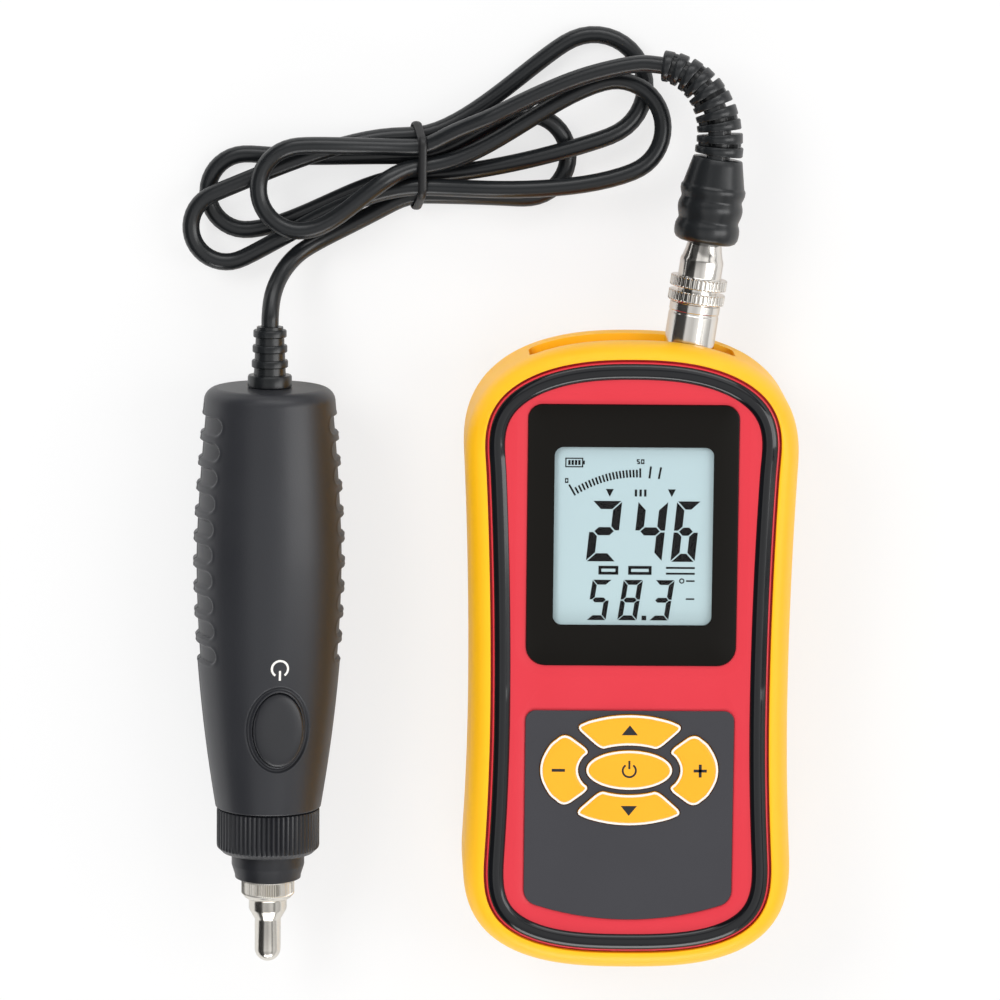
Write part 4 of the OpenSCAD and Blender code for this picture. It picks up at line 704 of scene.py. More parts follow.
# Each loop: slots in and out, centre, radius and angles of the far bend, its heights at start,
# middle and end, tilts of its two runs, and the share of each run by which the height is reached
LOOPS = (
    (high_slot(0), high_slot(1), (-85.6, 119), 11.1, (93, 267), (12.8, 12.6, 13), (0, 0), (0.8, 0.3)),
    (high_slot(1), high_slot(2), (-4.3, 135.3), 12.1, (105, -68), (9.1, 10.7, 13.3), (0, 0), (0.44, 0.46)),
    (high_slot(2), low_slot(0), (-104.9, 108.4), 9.3, (297, 112), (7, 7.3, 7.6), (-1, -6), (0.6, 0.53)),
    (low_slot(0), low_slot(2), (-10, 145.4), 13.4, (124, -71), (2.5, 3, 7.8), (10, -1), (0.5, 0.91)),
    (low_slot(2), low_slot(1), (-100, 117), 10, (276, 84), (2.3, 2.3, 2.3), (0, 0), (0.41, 0.42)),
    (low_slot(1), low_slot(3), (-27.3, 127), 11, (95, -93), (3.8, 2.3, 3.6), (-1, 0), (0.65, 0.84)),
)
RUN_PULL = 0.9


def hermite(p, m, q, n, t):
    return ((2 * t ** 3 - 3 * t * t + 1) * p + (t ** 3 - 2 * t * t + t) * m
            + (3 * t * t - 2 * t ** 3) * q + (t ** 3 - t * t) * n)


def bridge(p, p_way, q, q_way):
    """Stretch that leaves p one way and nears q another way, without its last point."""
    pull = np.linalg.norm(q - p)
    return [hermite(p, pull * p_way, q, pull * q_way, t) for t in (0, 0.2, 0.4, 0.6, 0.8)]


def loop_points(loop, run_steps=16, bend_steps=20):
    slot_in, slot_out, centre, r, (a0, a1), z, tilt, share = loop
    centre = np.array(centre, float)
    way, out = (1 if a1 > a0 else -1), (-1 if centre[0] < TIE_X else 1)
    at = lambda a: centre + r * np.array([math.cos(rad(a)), math.sin(rad(a))])
    go = way * np.array([-math.sin(rad(a0)), math.cos(rad(a0))])
    back = way * np.array([-math.sin(rad(a1)), math.cos(rad(a1))])
    leave = np.array([out * math.cos(rad(tilt[0])), math.sin(rad(tilt[0]))])
    arrive = np.array([-out * math.cos(rad(tilt[1])), math.sin(rad(tilt[1]))])
    start, end = at(a0), at(a1)
    run = RUN_PULL * np.linalg.norm(start - slot_in[:2])
    home = RUN_PULL * np.linalg.norm(end - slot_out[:2])
    points = []
    for t in np.arange(run_steps) / run_steps:
        x, y = hermite(slot_in[:2], run * leave, start, run * go, t)
        points.append((x, y, slot_in[2] + (z[0] - slot_in[2]) * soft_step(t / share[0])))
    for t in np.arange(bend_steps) / bend_steps:
        x, y = at(a0 + (a1 - a0) * t)
        points.append((x, y, z[0] + (z[1] - z[0]) * 2 * t if t < 0.5 else z[1] + (z[2] - z[1]) * (2 * t - 1)))
    for t in np.arange(run_steps) / run_steps:
        x, y = hermite(end, home * back, slot_out[:2], home * arrive, t)
        points.append((x, y, slot_out[2] + (z[2] - slot_out[2]) * soft_step((1 - t) / share[1])))
    return [np.array(p) for p in points]


def unit(v):
    v = np.array(v, float)
    return v / np.linalg.norm(v)


def spline(p, steps):
    """Smooth curve through points, straight between its first two and its last two."""
    p = [np.array(v, float) for v in p]
    out = [p[0] + (p[1] - p[0]) * t for t in np.arange(steps) / steps]
    for i in range(1, len(p) - 2):
        out += [through(*p[i - 1 : i + 3], t) for t in np.arange(steps) / steps]
    return out + [p[-2] + (p[-1] - p[-2]) * t for t in np.arange(steps + 1) / steps]


# Segmented relief of the plug: how it curls, and the places of its steps
RELIEF_LEN, RELIEF_TURN, RELIEF_EASE, RELIEF_DROOP = 31.0, 92.0, 1.3, 10.0
SEGMENTS, SUBSTEPS, GAP_STEPS = 10, 5, 1.5
GRIP_FOOT, GRIP_TOP, GRIP_R = 25.45, 47.4, 8.4
WALK = SEGMENTS * SUBSTEPS


def relief_heading(length):
    return RELIEF_TURN * (length / RELIEF_LEN) ** RELIEF_EASE


def relief_walk():
    step, p, out = RELIEF_LEN / WALK, np.zeros(2), []
    for i in range(WALK + 1):
        out.append(p.copy())
        h = rad(relief_heading(min((i + 0.5) * step, RELIEF_LEN)))
        p += step * np.array([-math.sin(h), math.cos(h)])
    return out


relief_path = relief_walk()


def drooped(p):
    c, s = math.cos(rad(RELIEF_DROOP)), math.sin(rad(RELIEF_DROOP))
    return p[0] * c + p[1] * s, p[1] * c - p[0] * s, p[2]


def relief_centre(i):
    low = int(min(i, WALK - 1))
    p = relief_path[low] + (relief_path[low + 1] - relief_path[low]) * (i - low)
    return np.array([p[0], 0, GRIP_TOP + p[1]])


PROBE_X, PROBE_Z, PROBE_ROLL = -93.3, 19.6, 10.0
RELIEF_TAIL = 84.0


def cord_route():
    """From the probe's relief through the hank to the plug, as part.scad has it."""
    hank_in, hank_in_run = np.array([-42, 135.6, 12]), unit((-12.6, -5.4, -3))
    hank_out, hank_out_run = np.array([-70, 110.2, 3.6]), unit((-14, -7.2, 0.4))
    h = rad(relief_heading(RELIEF_LEN))
    start = np.array(plug_point(drooped(relief_centre(WALK))))
    way = unit(np.array(plug_point(drooped((-math.sin(h), 0, math.cos(h))))) - np.array(PLUG))
    plug_side = spline([start, start + CORD_D * way, (-4, 151.2, 14.6), (-14, 148.4, 13.8), (-24, 144.2, 13.2),
                        (-33, 139.8, 12.9), hank_in - CORD_D * hank_in_run, hank_in], 5)
    past_tie = np.array([-1, 0, 0])
    route = plug_side + bridge(hank_in + CORD_D * hank_in_run, hank_in_run, high_slot(0), past_tie)
    for loop in LOOPS:
        route += loop_points(loop)
    last = hank_out - CORD_D * hank_out_run
    route += bridge(low_slot(3), past_tie, last, hank_out_run) + [last]
    route += spline([hank_out, hank_out + CORD_D * hank_out_run, (-81, 104.6, 4.8), (-86.4, 101.4, 7.3),
                     (-90.4, 97, 11.4), (-92.7, 91.8, 16.4), (PROBE_X, RELIEF_TAIL + CORD_D / 2, PROBE_Z),
                     (PROBE_X, RELIEF_TAIL, PROBE_Z)], 5)
    return route[::-1]


def smoothed(points, rounds=2):
    """Ease small kinks between the stretches without moving the ends."""
    p = np.array(points)
    for _ in range(rounds):
        p[1:-1] = (p[:-2] + 2 * p[1:-1] + p[2:]) / 4
    return p


def add_cord():
    route = smoothed(cord_route())
    length = float(np.linalg.norm(np.diff(route, axis=0), axis=1).sum())
    curve = bpy.data.curves.new("lead_cord", "CURVE")
    curve.dimensions, curve.bevel_depth, curve.bevel_resolution = "3D", CORD_D / 2 * MM, 6
    curve.use_fill_caps = True
    line = curve.splines.new("POLY")
    line.points.add(len(route) - 1)
    line.points.foreach_set("co", np.column_stack([route * MM, np.ones(len(route))]).ravel())
    cord = bpy.data.objects.new("lead_cord", curve)
    bpy.context.collection.objects.link(cord)
    curve.materials.append(cord_pvc)
    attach(cord, "lead")
    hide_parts("cord_plug_stretch", "cord_hank", "cord_probe_stretch")
    return cord, length, route


def add_tie():
    """Rubber ring round the bundle: a round section that leans over the strands."""
    low, high, mid = 1.5 * STEP, STEP, (LOW_Z + HIGH_Z) / 2

    def band(r):
        return (arc((low, LOW_Z), r, -90, 30, 12) + arc((high, HIGH_Z), r, 30, 90, 10)
                + arc((-high, HIGH_Z), r, 90, 150, 10) + arc((-low, LOW_Z), r, 150, 270, 12))

    middle, thick = CORD_D / 2 + TIE_GAP + 0.5, (0.55, 1.1)
    rings = []
    for t in np.linspace(0, 2 * math.pi, 15)[:-1]:
        rings.append([(TIE_X + thick[1] * math.sin(t) + TIE_SLANT * (z - mid), TIE_Y + x, z)
                      for x, z in band(middle + thick[0] * math.cos(t))])
    tie = extrude_rings("tie_band", rings, joined=True)
    return finish_piece(tie, tie_nylon, "lead", "cord_tie")


def tooth(a, count, land, slope):
    """0 on the land of a rib, 1 in the gap between two ribs."""
    return soft_step((abs((a * count / (2 * math.pi)) % 1 - 0.5) - land) / slope)


def straight_ribs(count, depth, start, end):
    """Ribs along the axis of a turned ring, faded at its two edges."""
    def ripple(a, h, _):
        if not start < h < end:
            return 0
        return -depth * tooth(a, count, 0.2, 0.2) * min(1, (h - start) / 0.25, (end - h) / 0.25)
    return ripple


# Knurled bands of the plug: number and depth of their ribs, and radius
KNURLS, KNURL_DEEP, KNURL_R = 40, 0.38, 7.3
# Segments of the relief: radius of the first and the last, of the core, and share of a segment in a rib
RELIEF_R, RELIEF_END_R, RELIEF_CORE, RIB_SHARE = 6.2, 4.0, 3.0, 0.93
# Grip of the plug: shares of its radius and of its length
GRIP = ((0.5, 0), (0.70, 0), (0.8, 0.006), (0.92, 0.03), (0.98, 0.07), (0.997, 0.11), (1, 0.15), (0.993, 0.19),
        (0.965, 0.225), (0.932, 0.25), (0.925, 0.27), (0.945, 0.3), (0.98, 0.345), (0.997, 0.385), (1, 0.42),
        (0.985, 0.455), (0.95, 0.49), (0.935, 0.51), (0.94, 0.53), (0.975, 0.565), (0.998, 0.6), (1, 0.64),
        (0.985, 0.66), (0.95, 0.675), (0.94, 0.69), (0.87, 0.81), (0.8, 0.93), (0.765, 0.99), (0.74, 1))


def knurled(name, low, foot, top, high):
    """Metal part of the plug: a knurled band from foot to top between two plain profiles."""
    edge = KNURL_R - 0.2
    fine = [(KNURL_R, h) for h in np.linspace(foot + 0.25, top - 0.25, 14)]
    profile = low + [(edge, foot), (KNURL_R, foot + 0.2)] + fine + [(KNURL_R, top - 0.2), (edge, top)] + high
    ribs = straight_ribs(KNURLS, KNURL_DEEP, foot + 0.1, top - 0.1)
    return turned(name, profile, plug_point, 320, ribs, joined=True)


def add_plug():
    """Coupling sleeve, back shell with its tail, and the rubber boot with its curled relief."""
    end, foot, top = -2.7, 9.9, 12.6
    sleeve = knurled("plug_sleeve", [
        (5.95, end), (6.3, end), (6.5, end + 0.25), (6.5, 6.6), (6.35, 6.8), (6.35, 7.3), (6.5, 7.5),
        (6.5, foot - 0.5), (6.1, foot - 0.35), (6.1, foot)], foot, top, [(5.06, top), (5.06, 9.86), (5.95, 9.86)])
    finish_piece(sleeve, nickel, "coupling_sleeve", "coupling_sleeve")

    foot, top = 13.6, 16.4
    shell = knurled("plug_back_shell", [
        (3.8, 8.5), (3.8, -3), (4.6, -3), (4.77, -2.8), (4.77, 8.6), (5.75, 8.6), (5.75, 9.8), (5.0, 9.8),
        (5.0, foot)], foot, top, [
        (5.75, top), (5.6, top + 0.2), (5.6, 20.6), (5.45, 21.2), (5.2, 21.7), (4.75, 23.4), (4.4, 25.2), (4.35, 25.4),
        (4.2, 25.4), (4.2, 42), (3.4, 42), (3.4, 8.5)])
    finish_piece(shell, nickel, "lead", "plug_shell")

    angles = [2 * math.pi * k / 96 for k in range(96)]
    rings = []
    for share, s in GRIP:
        r, h = share * GRIP_R, GRIP_FOOT + s * (GRIP_TOP - GRIP_FOOT)
        rings.append([plug_point(drooped((r * math.cos(a), r * math.sin(a), h))) for a in angles])

    def section(i, radius, rib_axis=None):
        h, centre = rad(relief_heading(RELIEF_LEN * i / WALK)), relief_centre(i)
        out = []
        for a in angles:
            w = radius
            if rib_axis is not None:
                off = abs((math.degrees(a) + 90 - rib_axis) % 180 - 90)
                w = RELIEF_CORE + (radius * RIB_SHARE - RELIEF_CORE) * (1 - soft_step((off - 20) / 12))
            way = np.array([math.cos(a) * math.cos(h), math.sin(a), math.cos(a) * math.sin(h)])
            out.append(plug_point(drooped(centre + w * way)))
        return out

    for n in range(SEGMENTS):
        r = RELIEF_R + (RELIEF_END_R - RELIEF_R) * n / (SEGMENTS - 1)
        i, axis = n * SUBSTEPS, 90 if n % 2 == 0 else 0
        gap, full = i + GAP_STEPS, i + SUBSTEPS
        rings += [section(i, r, axis), section(i + 0.75, r, axis), section(gap, r, axis), section(gap, r - 0.2),
                  section(gap + 0.35, r), section(full - 0.35, r), section(full, r - 0.2)]
    grip = finish_piece(extrude_rings("plug_grip", rings), cord_pvc, "lead", "plug_boot", sharp=50)
    return sleeve, shell, grip


# Probe body: radius along its length, finger grooves, button trench and parting line
PROBE_R, PROBE_FOOT_R, PROBE_TOP_R = 19.6, 13.7, 17.0
PROBE_TOP, PROBE_FOOT, BELLY, EDGE_R = 68.3, -42.0, 24.0, 3.6
BUTTON_Y, BUTTON_A, BUTTON_B = -18.6, 6.5, 9.8
# Finger grooves: first one, pitch, number, half length, half width and depth
FINGER_Y, FINGER_PITCH, FINGERS, FINGER_REACH, FINGER_HALF, FINGER_DEEP = -0.2, 6.6, 10, 8.15, 2.25, 0.8


def body_r(y):
    low = PROBE_R - (PROBE_R - PROBE_FOOT_R) * (np.maximum(BELLY - y, 0) / (BELLY - PROBE_FOOT)) ** 1.9
    high = (PROBE_R - PROBE_TOP_R) * (np.maximum(y - BELLY, 0) / (PROBE_TOP - EDGE_R - BELLY)) ** 1.5
    return low - high


def add_probe_shell(name, front, columns, rows):
    """Half of the body as a fine grid, with every detail worked into its radius."""
    fillet = [(PROBE_TOP_R - EDGE_R + EDGE_R * math.cos(a), PROBE_TOP - EDGE_R + EDGE_R * math.sin(a))
              for a in np.radians(np.linspace(4, 90, 22))]
    if front:
        # more rows round the button
        near_rows, low_rows = rows * 2 // 5, rows // 8
        near = np.linspace(BUTTON_Y - 13.5, BUTTON_Y + 13.5, near_rows)
        ys = np.concatenate([np.linspace(PROBE_FOOT + 0.3, near[0], low_rows)[:-1], near,
                             np.linspace(near[-1], PROBE_TOP - EDGE_R, rows - near_rows - low_rows + 1)[1:]])
    else:
        ys = np.linspace(PROBE_FOOT + 0.3, PROBE_TOP - EDGE_R, rows)
    profile = [(11.5, PROBE_FOOT), (13.3, PROBE_FOOT)]
    profile += [(float(body_r(y)), y) for y in ys] + fillet + [(4.15, PROBE_TOP)]
    u = np.linspace(-1, 1, columns)
    # the middle of the front shell has more columns, for the button
    bend = 0.55 if front else 0.0
    theta = 90 * (u * (1 - bend) + bend * u ** 3)
    r, y = np.array(profile).T
    R, T = np.meshgrid(r, theta, indexing="ij")
    Y = np.repeat(y[:, None], columns, 1)
    side = 1 if front else -1
    x, z = R * np.sin(np.radians(T)), side * R * np.cos(np.radians(T))
    # finger grooves: round-ended slots on both flanks
    n = np.clip(np.round((Y - FINGER_Y) / FINGER_PITCH), 0, FINGERS - 1)
    across = Y - (FINGER_Y + FINGER_PITCH * n)
    edge = FINGER_HALF - np.hypot(across, np.maximum(np.abs(z) - FINGER_REACH, 0))
    depth = FINGER_DEEP * soft_step(edge / 0.55 + 0.25)
    # a soft lip where the finger rolls over the groove's end
    depth -= 0.12 * np.exp(-((edge + 0.35) / 0.35) ** 2)
    body = (Y > PROBE_FOOT + 0.5) & (Y < PROBE_TOP - EDGE_R)
    depth = np.where(body, depth, 0)
    if front:
        def oval(grow):
            return np.hypot(x / (BUTTON_A + grow), (Y - BUTTON_Y) / (BUTTON_B + grow))

        trench = 0.75 * soft_step((1 - oval(1.9)) * (BUTTON_A + 2) / 0.45)
        rim = 0.55 * soft_step((1 - oval(1.05)) * (BUTTON_A + 1) / 0.4)
        gap = 3.0 * soft_step((1 - oval(0.22)) * BUTTON_A / 0.25)
        depth += np.where(body, trench - rim + gap, 0)
    # the edge at the parting line turns in a little
    depth += 0.22 * soft_step((np.abs(T) - 89.0) / 1.0) * body
    w = R - depth
    x, z = w * np.sin(np.radians(T)), side * w * np.cos(np.radians(T))
    points = np.array([probe_point((a, b, c)) for a, b, c in zip(x.ravel(), z.ravel(), Y.ravel())])
    shell = wrapped_grid(name, columns, len(profile), points)
    face_outwards(shell, Vector((PROBE_X, 10, PROBE_Z)) * MM)
    node = "probe_front_shell" if front else "probe_rear_shell"
    return finish_piece(shell, probe_abs, "lead", node, sharp=60)


def face_outwards(obj, centre):
    """Turn the whole skin round if its faces look at the centre."""
    mesh = obj.data
    mesh.update()
    skip = max(1, len(mesh.polygons) // 500)
    faces = (mesh.polygons[i] for i in range(0, len(mesh.polygons), skip))
    if sum((f.center - centre).dot(f.normal) for f in faces) < 0:
        mesh.flip_normals()


def add_probe_button():
    """Dished oval cap with a round rim."""
    def oval(shrink, z):
        return [probe_point((x, z, y + BUTTON_Y)) for x, y in ellipse(BUTTON_A - shrink, BUTTON_B - shrink, 96)]
    top = float(body_r(BUTTON_Y)) + 0.35
    rings = [oval(-1, 10.6), oval(-1, 11.8), oval(0, 11.8), oval(0, top - 0.95), oval(0.1, top - 0.65),
             oval(0.35, top - 0.38), oval(0.8, top - 0.2), oval(1.5, top - 0.08), oval(2.5, top - 0.01),
             oval(3.8, top), oval(5.4, top)]
    cap = extrude_rings("probe_button_cap", rings)
    return finish_piece(cap, nose_nylon, "probe_button", "probe_button", sharp=50)
# Number and depth of the ribs of collar and tip
COLLAR_RIBS, COLLAR_DEEP, TIP_RIBS, TIP_DEEP = 64, 0.42, 72, 0.24

def add_nose():
    """Ribbed collar, black nose and the strain relief at the other end."""
    low, high = -54.0, -42.25

    def ribs(a, h, r):
        return 0 if r < 13 or h < low + 1.4 else -COLLAR_DEEP * tooth(a, COLLAR_RIBS, 0.26, 0.14)

    profile = [(9.6, low + 2.4), (9.6, low), (11.6, low), (11.95, low + 0.1), (13.25, low + 1.35), (13.4, low + 1.8),
               (13.4, low + 3), (13.4, high - 0.5), (13.3, high - 0.15), (13.05, high), (11.46, high),
               (11.46, low + 2.4)]
    collar = turned("nose_collar_ring", profile, probe_point, 384, ribs, joined=True)
    finish_piece(collar, nose_nylon, "nose_collar", "nose_collar", sharp=40)
    profile = [(5.06, -61), (8.3, -61), (8.55, -60.85), (8.62, -60.5), (8.62, -60.1), (9.42, -57.6), (9.5, -57.2),
               (9.5, -51.54), (11.4, -51.54), (11.4, -36), (7.05, -36), (7.05, -57), (5.06, -57)]
    nose = turned("nose_cone", profile, probe_point, 128, joined=True)
    finish_piece(nose, nose_nylon, "lead", "nose_sleeve")
    profile = [(2.2, 64.7), (5.7, 64.7), (5.7, 66), (4.1, 66.05), (4.1, 68.35), (5.5, 68.35), (5.7, 68.6),
               (5.7, 71.1), (5.45, 71.5), (4.15, 71.6), (4.05, 73.4), (4.5, 73.5), (4.7, 73.7), (4.7, 75.1),
               (4.5, 75.4), (3.95, 75.5), (3.9, 77.3), (4.3, 77.4), (4.5, 77.6), (4.5, 79), (4.3, 79.3),
               (3.75, 79.4), (3.7, 81.2), (4.1, 81.3), (4.3, 81.5), (4.3, 82.9), (4.1, 83.2), (3.45, 83.3),
               (3.4, 84), (2.2, 84)]
    relief = turned("probe_cord_relief", profile, probe_point, 96, joined=True)
    finish_piece(relief, cord_pvc, "lead", "probe_relief")


def add_contact_tip():
    """Turned steel tip: knurled ring, neck, cone and a round-ended rod."""
    top, foot, rod, end = -61.3, -65.3, 3.4, -83.4
    profile = [(rod * math.sin(a), end + rod - rod * math.cos(a)) for a in np.radians(np.linspace(3, 90, 16))]
    profile += [(rod, -72.1), (3.5, -71.9), (4.75, -69.7), (4.95, -69.2), (4.95, -67.1), (5.05, -66.75),
                (5.3, -66.65), (6.1, -66.1), (6.55, foot - 0.25), (6.7, foot), (6.88, foot + 0.15)]
    profile += [(6.9, h) for h in np.linspace(foot + 0.25, top - 0.25, 16)]
    profile += [(6.88, top - 0.15), (6.7, top), (2, top), (2, -54.35), (1.7, -54.05)]
    ribs = straight_ribs(TIP_RIBS, TIP_DEEP, foot + 0.15, top - 0.15)
    tip = turned("contact_tip_turned", profile, probe_point, 360, ribs)
    return finish_piece(tip, steel, "contact_tip", "contact_tip", sharp=30)


# Display: window with a black printed border, and dark segments on the glass.
# Clear part of the window: middle across, width, foot and head
VIEW = (0.25, 40.8, 9.5, 55.8)


def window_outline(inset):
    width, foot, head, foot_r, head_r = WINDOW
    return round_box(width - 2 * inset, foot + inset, head - inset, foot_r - inset, head_r - inset, 12)


def add_window():
    opening = [(x + VIEW[0], y) for x, y in round_box(VIEW[1], VIEW[2], VIEW[3], 2.3, 2.3, 12)]
    low, high = 35.95, 37.2
    window = extrude_rings("display_window", flat_rings(
        (opening, low), (window_outline(0), low), (window_outline(0), high - 0.15),
        (window_outline(0.05), high - 0.04), (window_outline(0.18), high), (opening, high)))
    window.data.materials.append(lens_print)
    window.data.materials.append(window_clear)
    for f in window.data.polygons:
        # the two faces that close the opening have many corners
        if len(f.vertices) > 8:
            f.material_index = 1
    return finish_piece(window, lens_print, "meter", "display_lens")


SEGMENT_Z = 35.77


def slanted(points, origin, slant):
    return [(origin[0] + x + y * slant, origin[1] + y) for x, y in points]


def bar(x0, y0, x1, y1, width):
    """A straight stroke."""
    p, q = Vector((x0, y0)), Vector((x1, y1))
    t = (q - p).normalized()
    n = Vector((-t.y, t.x)) * width / 2
    return [tuple(v) for v in (p - n, q - n, q, q + n, p + n, p)]


DIGITS = {"0": "abcdef", "2": "abged", "3": "abgcd", "4": "fgbc", "5": "afgcd", "6": "afgedc", "8": "abcdefg"}


def digit(text, x, y, width, height, stroke, slant=0.1, gap=0.2):
    """Mitred segments that fill a leaning box of this outer size."""
    h, s, g = height / 2, stroke, gap
    top = [(g, height), (s + g, height - s), (width - s - g, height - s), (width - g, height)]
    middle = [(s / 2 + g, h), (s + g, h + s / 2), (width - s - g, h + s / 2), (width - s / 2 - g, h),
              (width - s - g, h - s / 2), (s + g, h - s / 2)]
    left = [(0, height - g), (0, h + g), (s / 2, h + g), (s, h + s / 2 + g), (s, height - s - g)]
    right = [(width - a, b) for a, b in left]
    low = lambda shape: [(a, height - b) for a, b in shape]
    parts = {"a": top, "b": right, "c": low(right), "d": low(top), "e": low(left), "f": left, "g": middle}
    return [slanted(parts[k], (x, y), slant) for k in DIGITS[text]]


def plate_mesh(name, shapes, z, height):
    """Flat printed shapes, each a thin plate."""
    plates = []
    for shape in shapes:
        area = sum(a[0] * b[1] - b[0] * a[1] for a, b in zip(shape, shape[1:] + shape[:1]))
        ordered = shape if area > 0 else shape[::-1]
        plates.append(prism(name, ordered, z, z + height))
    return join(name, plates)


def add_display():
    # battery mark
    shapes = ring_frame(-15.1, 51.6, 4.6, 2.5, 0.3) + [round_box_at(-12.6, 51.6, 0.4, 1.0)]
    shapes += [round_box_at(x, 51.6, 0.6, 1.25) for x in (-16.35, -15.5, -14.65, -13.8)]
    # bar graph on a rising arc, a number at each end, and two single marks past it
    for k in range(21):
        t = k / 20
        x, y = -14.75 + 16.6 * t, 43.1 + 4.7 * t + 5.6 * t * (1 - t)
        tilt = rad(120 - 29 * t)
        long = 3.2 if k == 0 else 2.4 if k == 20 else 1.8 + 0.2 * t
        shapes.append(bar(x, y, x + long * math.cos(tilt), y + long * math.sin(tilt), 0.48))
    shapes += [bar(4.2, 47.6, 4.55, 50.7, 0.5), bar(6.6, 47.5, 7.15, 50.5, 0.5)]
    for text, x, y in (("0", -17.4, 46.3), ("5", 0.9, 51.3), ("0", 2.0, 51.3)):
        shapes += digit(text, x, y, 0.85, 1.25, 0.3, 0, 0.0)
    # large reading, bold and leaning
    for text, x, width in (("2", -11.8, 7.6), ("4", 0.0, 7.6), ("6", 9.9, 6.2)):
        shapes += digit(text, x, 26.0, width, 15.7, 2.1, 0.097, 0.25)
    # small reading with a point
    for text, x in (("5", -11.5), ("8", -3.55), ("3", 4.6)):
        shapes += digit(text, x, 10.7, 4.95, 10.5, 1.25, 0.146, 0.15)
    shapes.append(round_box_at(3.3, 11.3, 1.2, 1.2))
    # plain marks in the places of words and units
    shapes += [triangle(-5.9, 43.8, 2.0), triangle(10.0, 43.8, 2.0)]
    shapes += [round_box_at(x, 43.8, 0.6, 1.8) for x in (0.8, 2.0, 3.2)]
    shapes += ring_frame(-6.0, 23.7, 5.1, 2.3, 0.75) + ring_frame(2.1, 23.7, 6.0, 2.3, 0.75)
    shapes += [round_box_at(12.5, y, 7.4, 0.5) for y in (24.4, 22.9)]
    shapes += ring_shape(12.9, 21.0, 0.55, 0.3, steps=12)
    shapes += [round_box_at(15.1, y, 2.2, 0.4) for y in (21.0, 16.3)]
    return finish_piece(plate_mesh("display_segments", shapes, SEGMENT_Z, 0.02), display_ink, "meter")


def ring_frame(x, y, w, h, line):
    """A thin rectangular frame as four strokes."""
    return [round_box_at(x, y + side * (h - line) / 2, w, line) for side in (-1, 1)] + [
        round_box_at(x + side * (w - line) / 2, y, line, h) for side in (-1, 1)]


def round_box_at(x, y, w, h):
    return [(x - w / 2, y - h / 2), (x + w / 2, y - h / 2), (x + w / 2, y + h / 2), (x - w / 2, y + h / 2)]


def triangle(x, y, s):
    return [(x - s / 2, y + s / 2), (x, y - s / 2), (x + s / 2, y + s / 2)]


def ring_shape(x, y, r, width, start=0, end=360, steps=28):
    """An open or closed ring as short strokes."""
    low, high = ([(x + reach * math.cos(a), y + reach * math.sin(a)) for a in np.radians(np.linspace(start, end, steps + 1))]
                 for reach in (r - width / 2, r + width / 2))
    return [[low[k], high[k], high[k + 1], low[k + 1]] for k in range(steps)]


def add_key_marks():
    """Plain marks on the keys: a power ring, arrows, minus and plus."""
    z = KEY_TOP + 0.005
    marks = {
        "centre": ring_shape(0, KEY_Y, 1.7, 0.5, 125, 415) + [round_box_at(0, KEY_Y + 1.5, 0.5, 2.2)],
        "top": [[(-2.1, KEY_Y + 9.3), (2.1, KEY_Y + 9.3), (0, KEY_Y + 11.9)]],
        "bottom": [[(-2.1, KEY_Y - 9.3), (0, KEY_Y - 11.9), (2.1, KEY_Y - 9.3)]],
        "left": [round_box_at(-18.3, KEY_Y, 3.4, 0.75)],
        "right": [round_box_at(18.3, KEY_Y, 3.4, 0.75), round_box_at(18.3, KEY_Y, 0.75, 3.4)],
    }
    for key, shapes in marks.items():
        finish_piece(plate_mesh("key_mark_" + key, shapes, z, 0.02), dark_ink, "key_" + key)


def add_probe_mark():
    """White power mark on the probe, laid on the round of its body."""
    shapes = ring_shape(0, -2.2, 2.1, 0.55, 305, 595) + [round_box_at(0, -4.0, 0.55, 2.6)]
    plates = []
    for shape in shapes:
        low, high = [], []
        for x, y in shape:
            r = float(body_r(y))
            z = math.sqrt(r * r - x * x)
            low.append(probe_point((x, z - 0.05, y)))
            high.append(probe_point((x, z + 0.03, y)))
        plates.append(extrude_rings("probe_mark", [low, high]))
    mark = join("probe_mark", plates)
    return finish_piece(mark, white_ink, "lead")


def dress_cad_nodes():
    """Procedural finishes for the solids that stay as they are."""
    for finish, nodes in (
        (case_abs, "rear_case battery_door"), (display_reflector, "lcd_glass"),
        (white_plastic, "lcd_frame backlight"), (zebra_rubber, "contact_strips"),
        (zinc, "dome_switches board_screws case_screws probe_screws"), (board_resist, "main_board probe_board"),
        (inner_black, "main_chip battery_snap socket_insert plug_insert probe_switch"),
        (cell_jacket, "battery"), (nickel, "socket_shell socket_nut"), (steel, "sensor_body sensor_mass"),
        (ceramic, "piezo_rings"),
    ):
        for node in nodes.split():
            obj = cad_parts[node]
            if obj.material_slots:
                for s in obj.material_slots:
                    s.material = finish
            else:
                obj.data.materials.append(finish)


def band(tree, value, stops):
    """Brightness along an angle, read from stops of (place, grey)."""
    ramp = add(tree, "ShaderNodeValToRGB", links={"Fac": value})
    marks = ramp.color_ramp.elements
    for k, (place, grey) in enumerate(stops):
        mark = marks[k] if k < 2 else marks.new(place)
        mark.position, mark.color = place, (grey, grey, grey, 1)
    return ramp.outputs["Color"]


def direction_angle(tree, side, up):
    """Angle of a direction from straight up towards a side, as 0 to 1 with 0.5 for up."""
    turn = add(tree, "ShaderNodeMath", links={0: side, 1: up}, operation="ARCTAN2")
    share = add(tree, "ShaderNodeMath", links={0: turn.outputs[0]}, inputs={1: 0.5 / math.pi},
                operation="MULTIPLY")
    centred = add(tree, "ShaderNodeMath", links={0: share.outputs[0]}, inputs={1: 0.5}, operation="ADD")
    return centred.outputs[0]


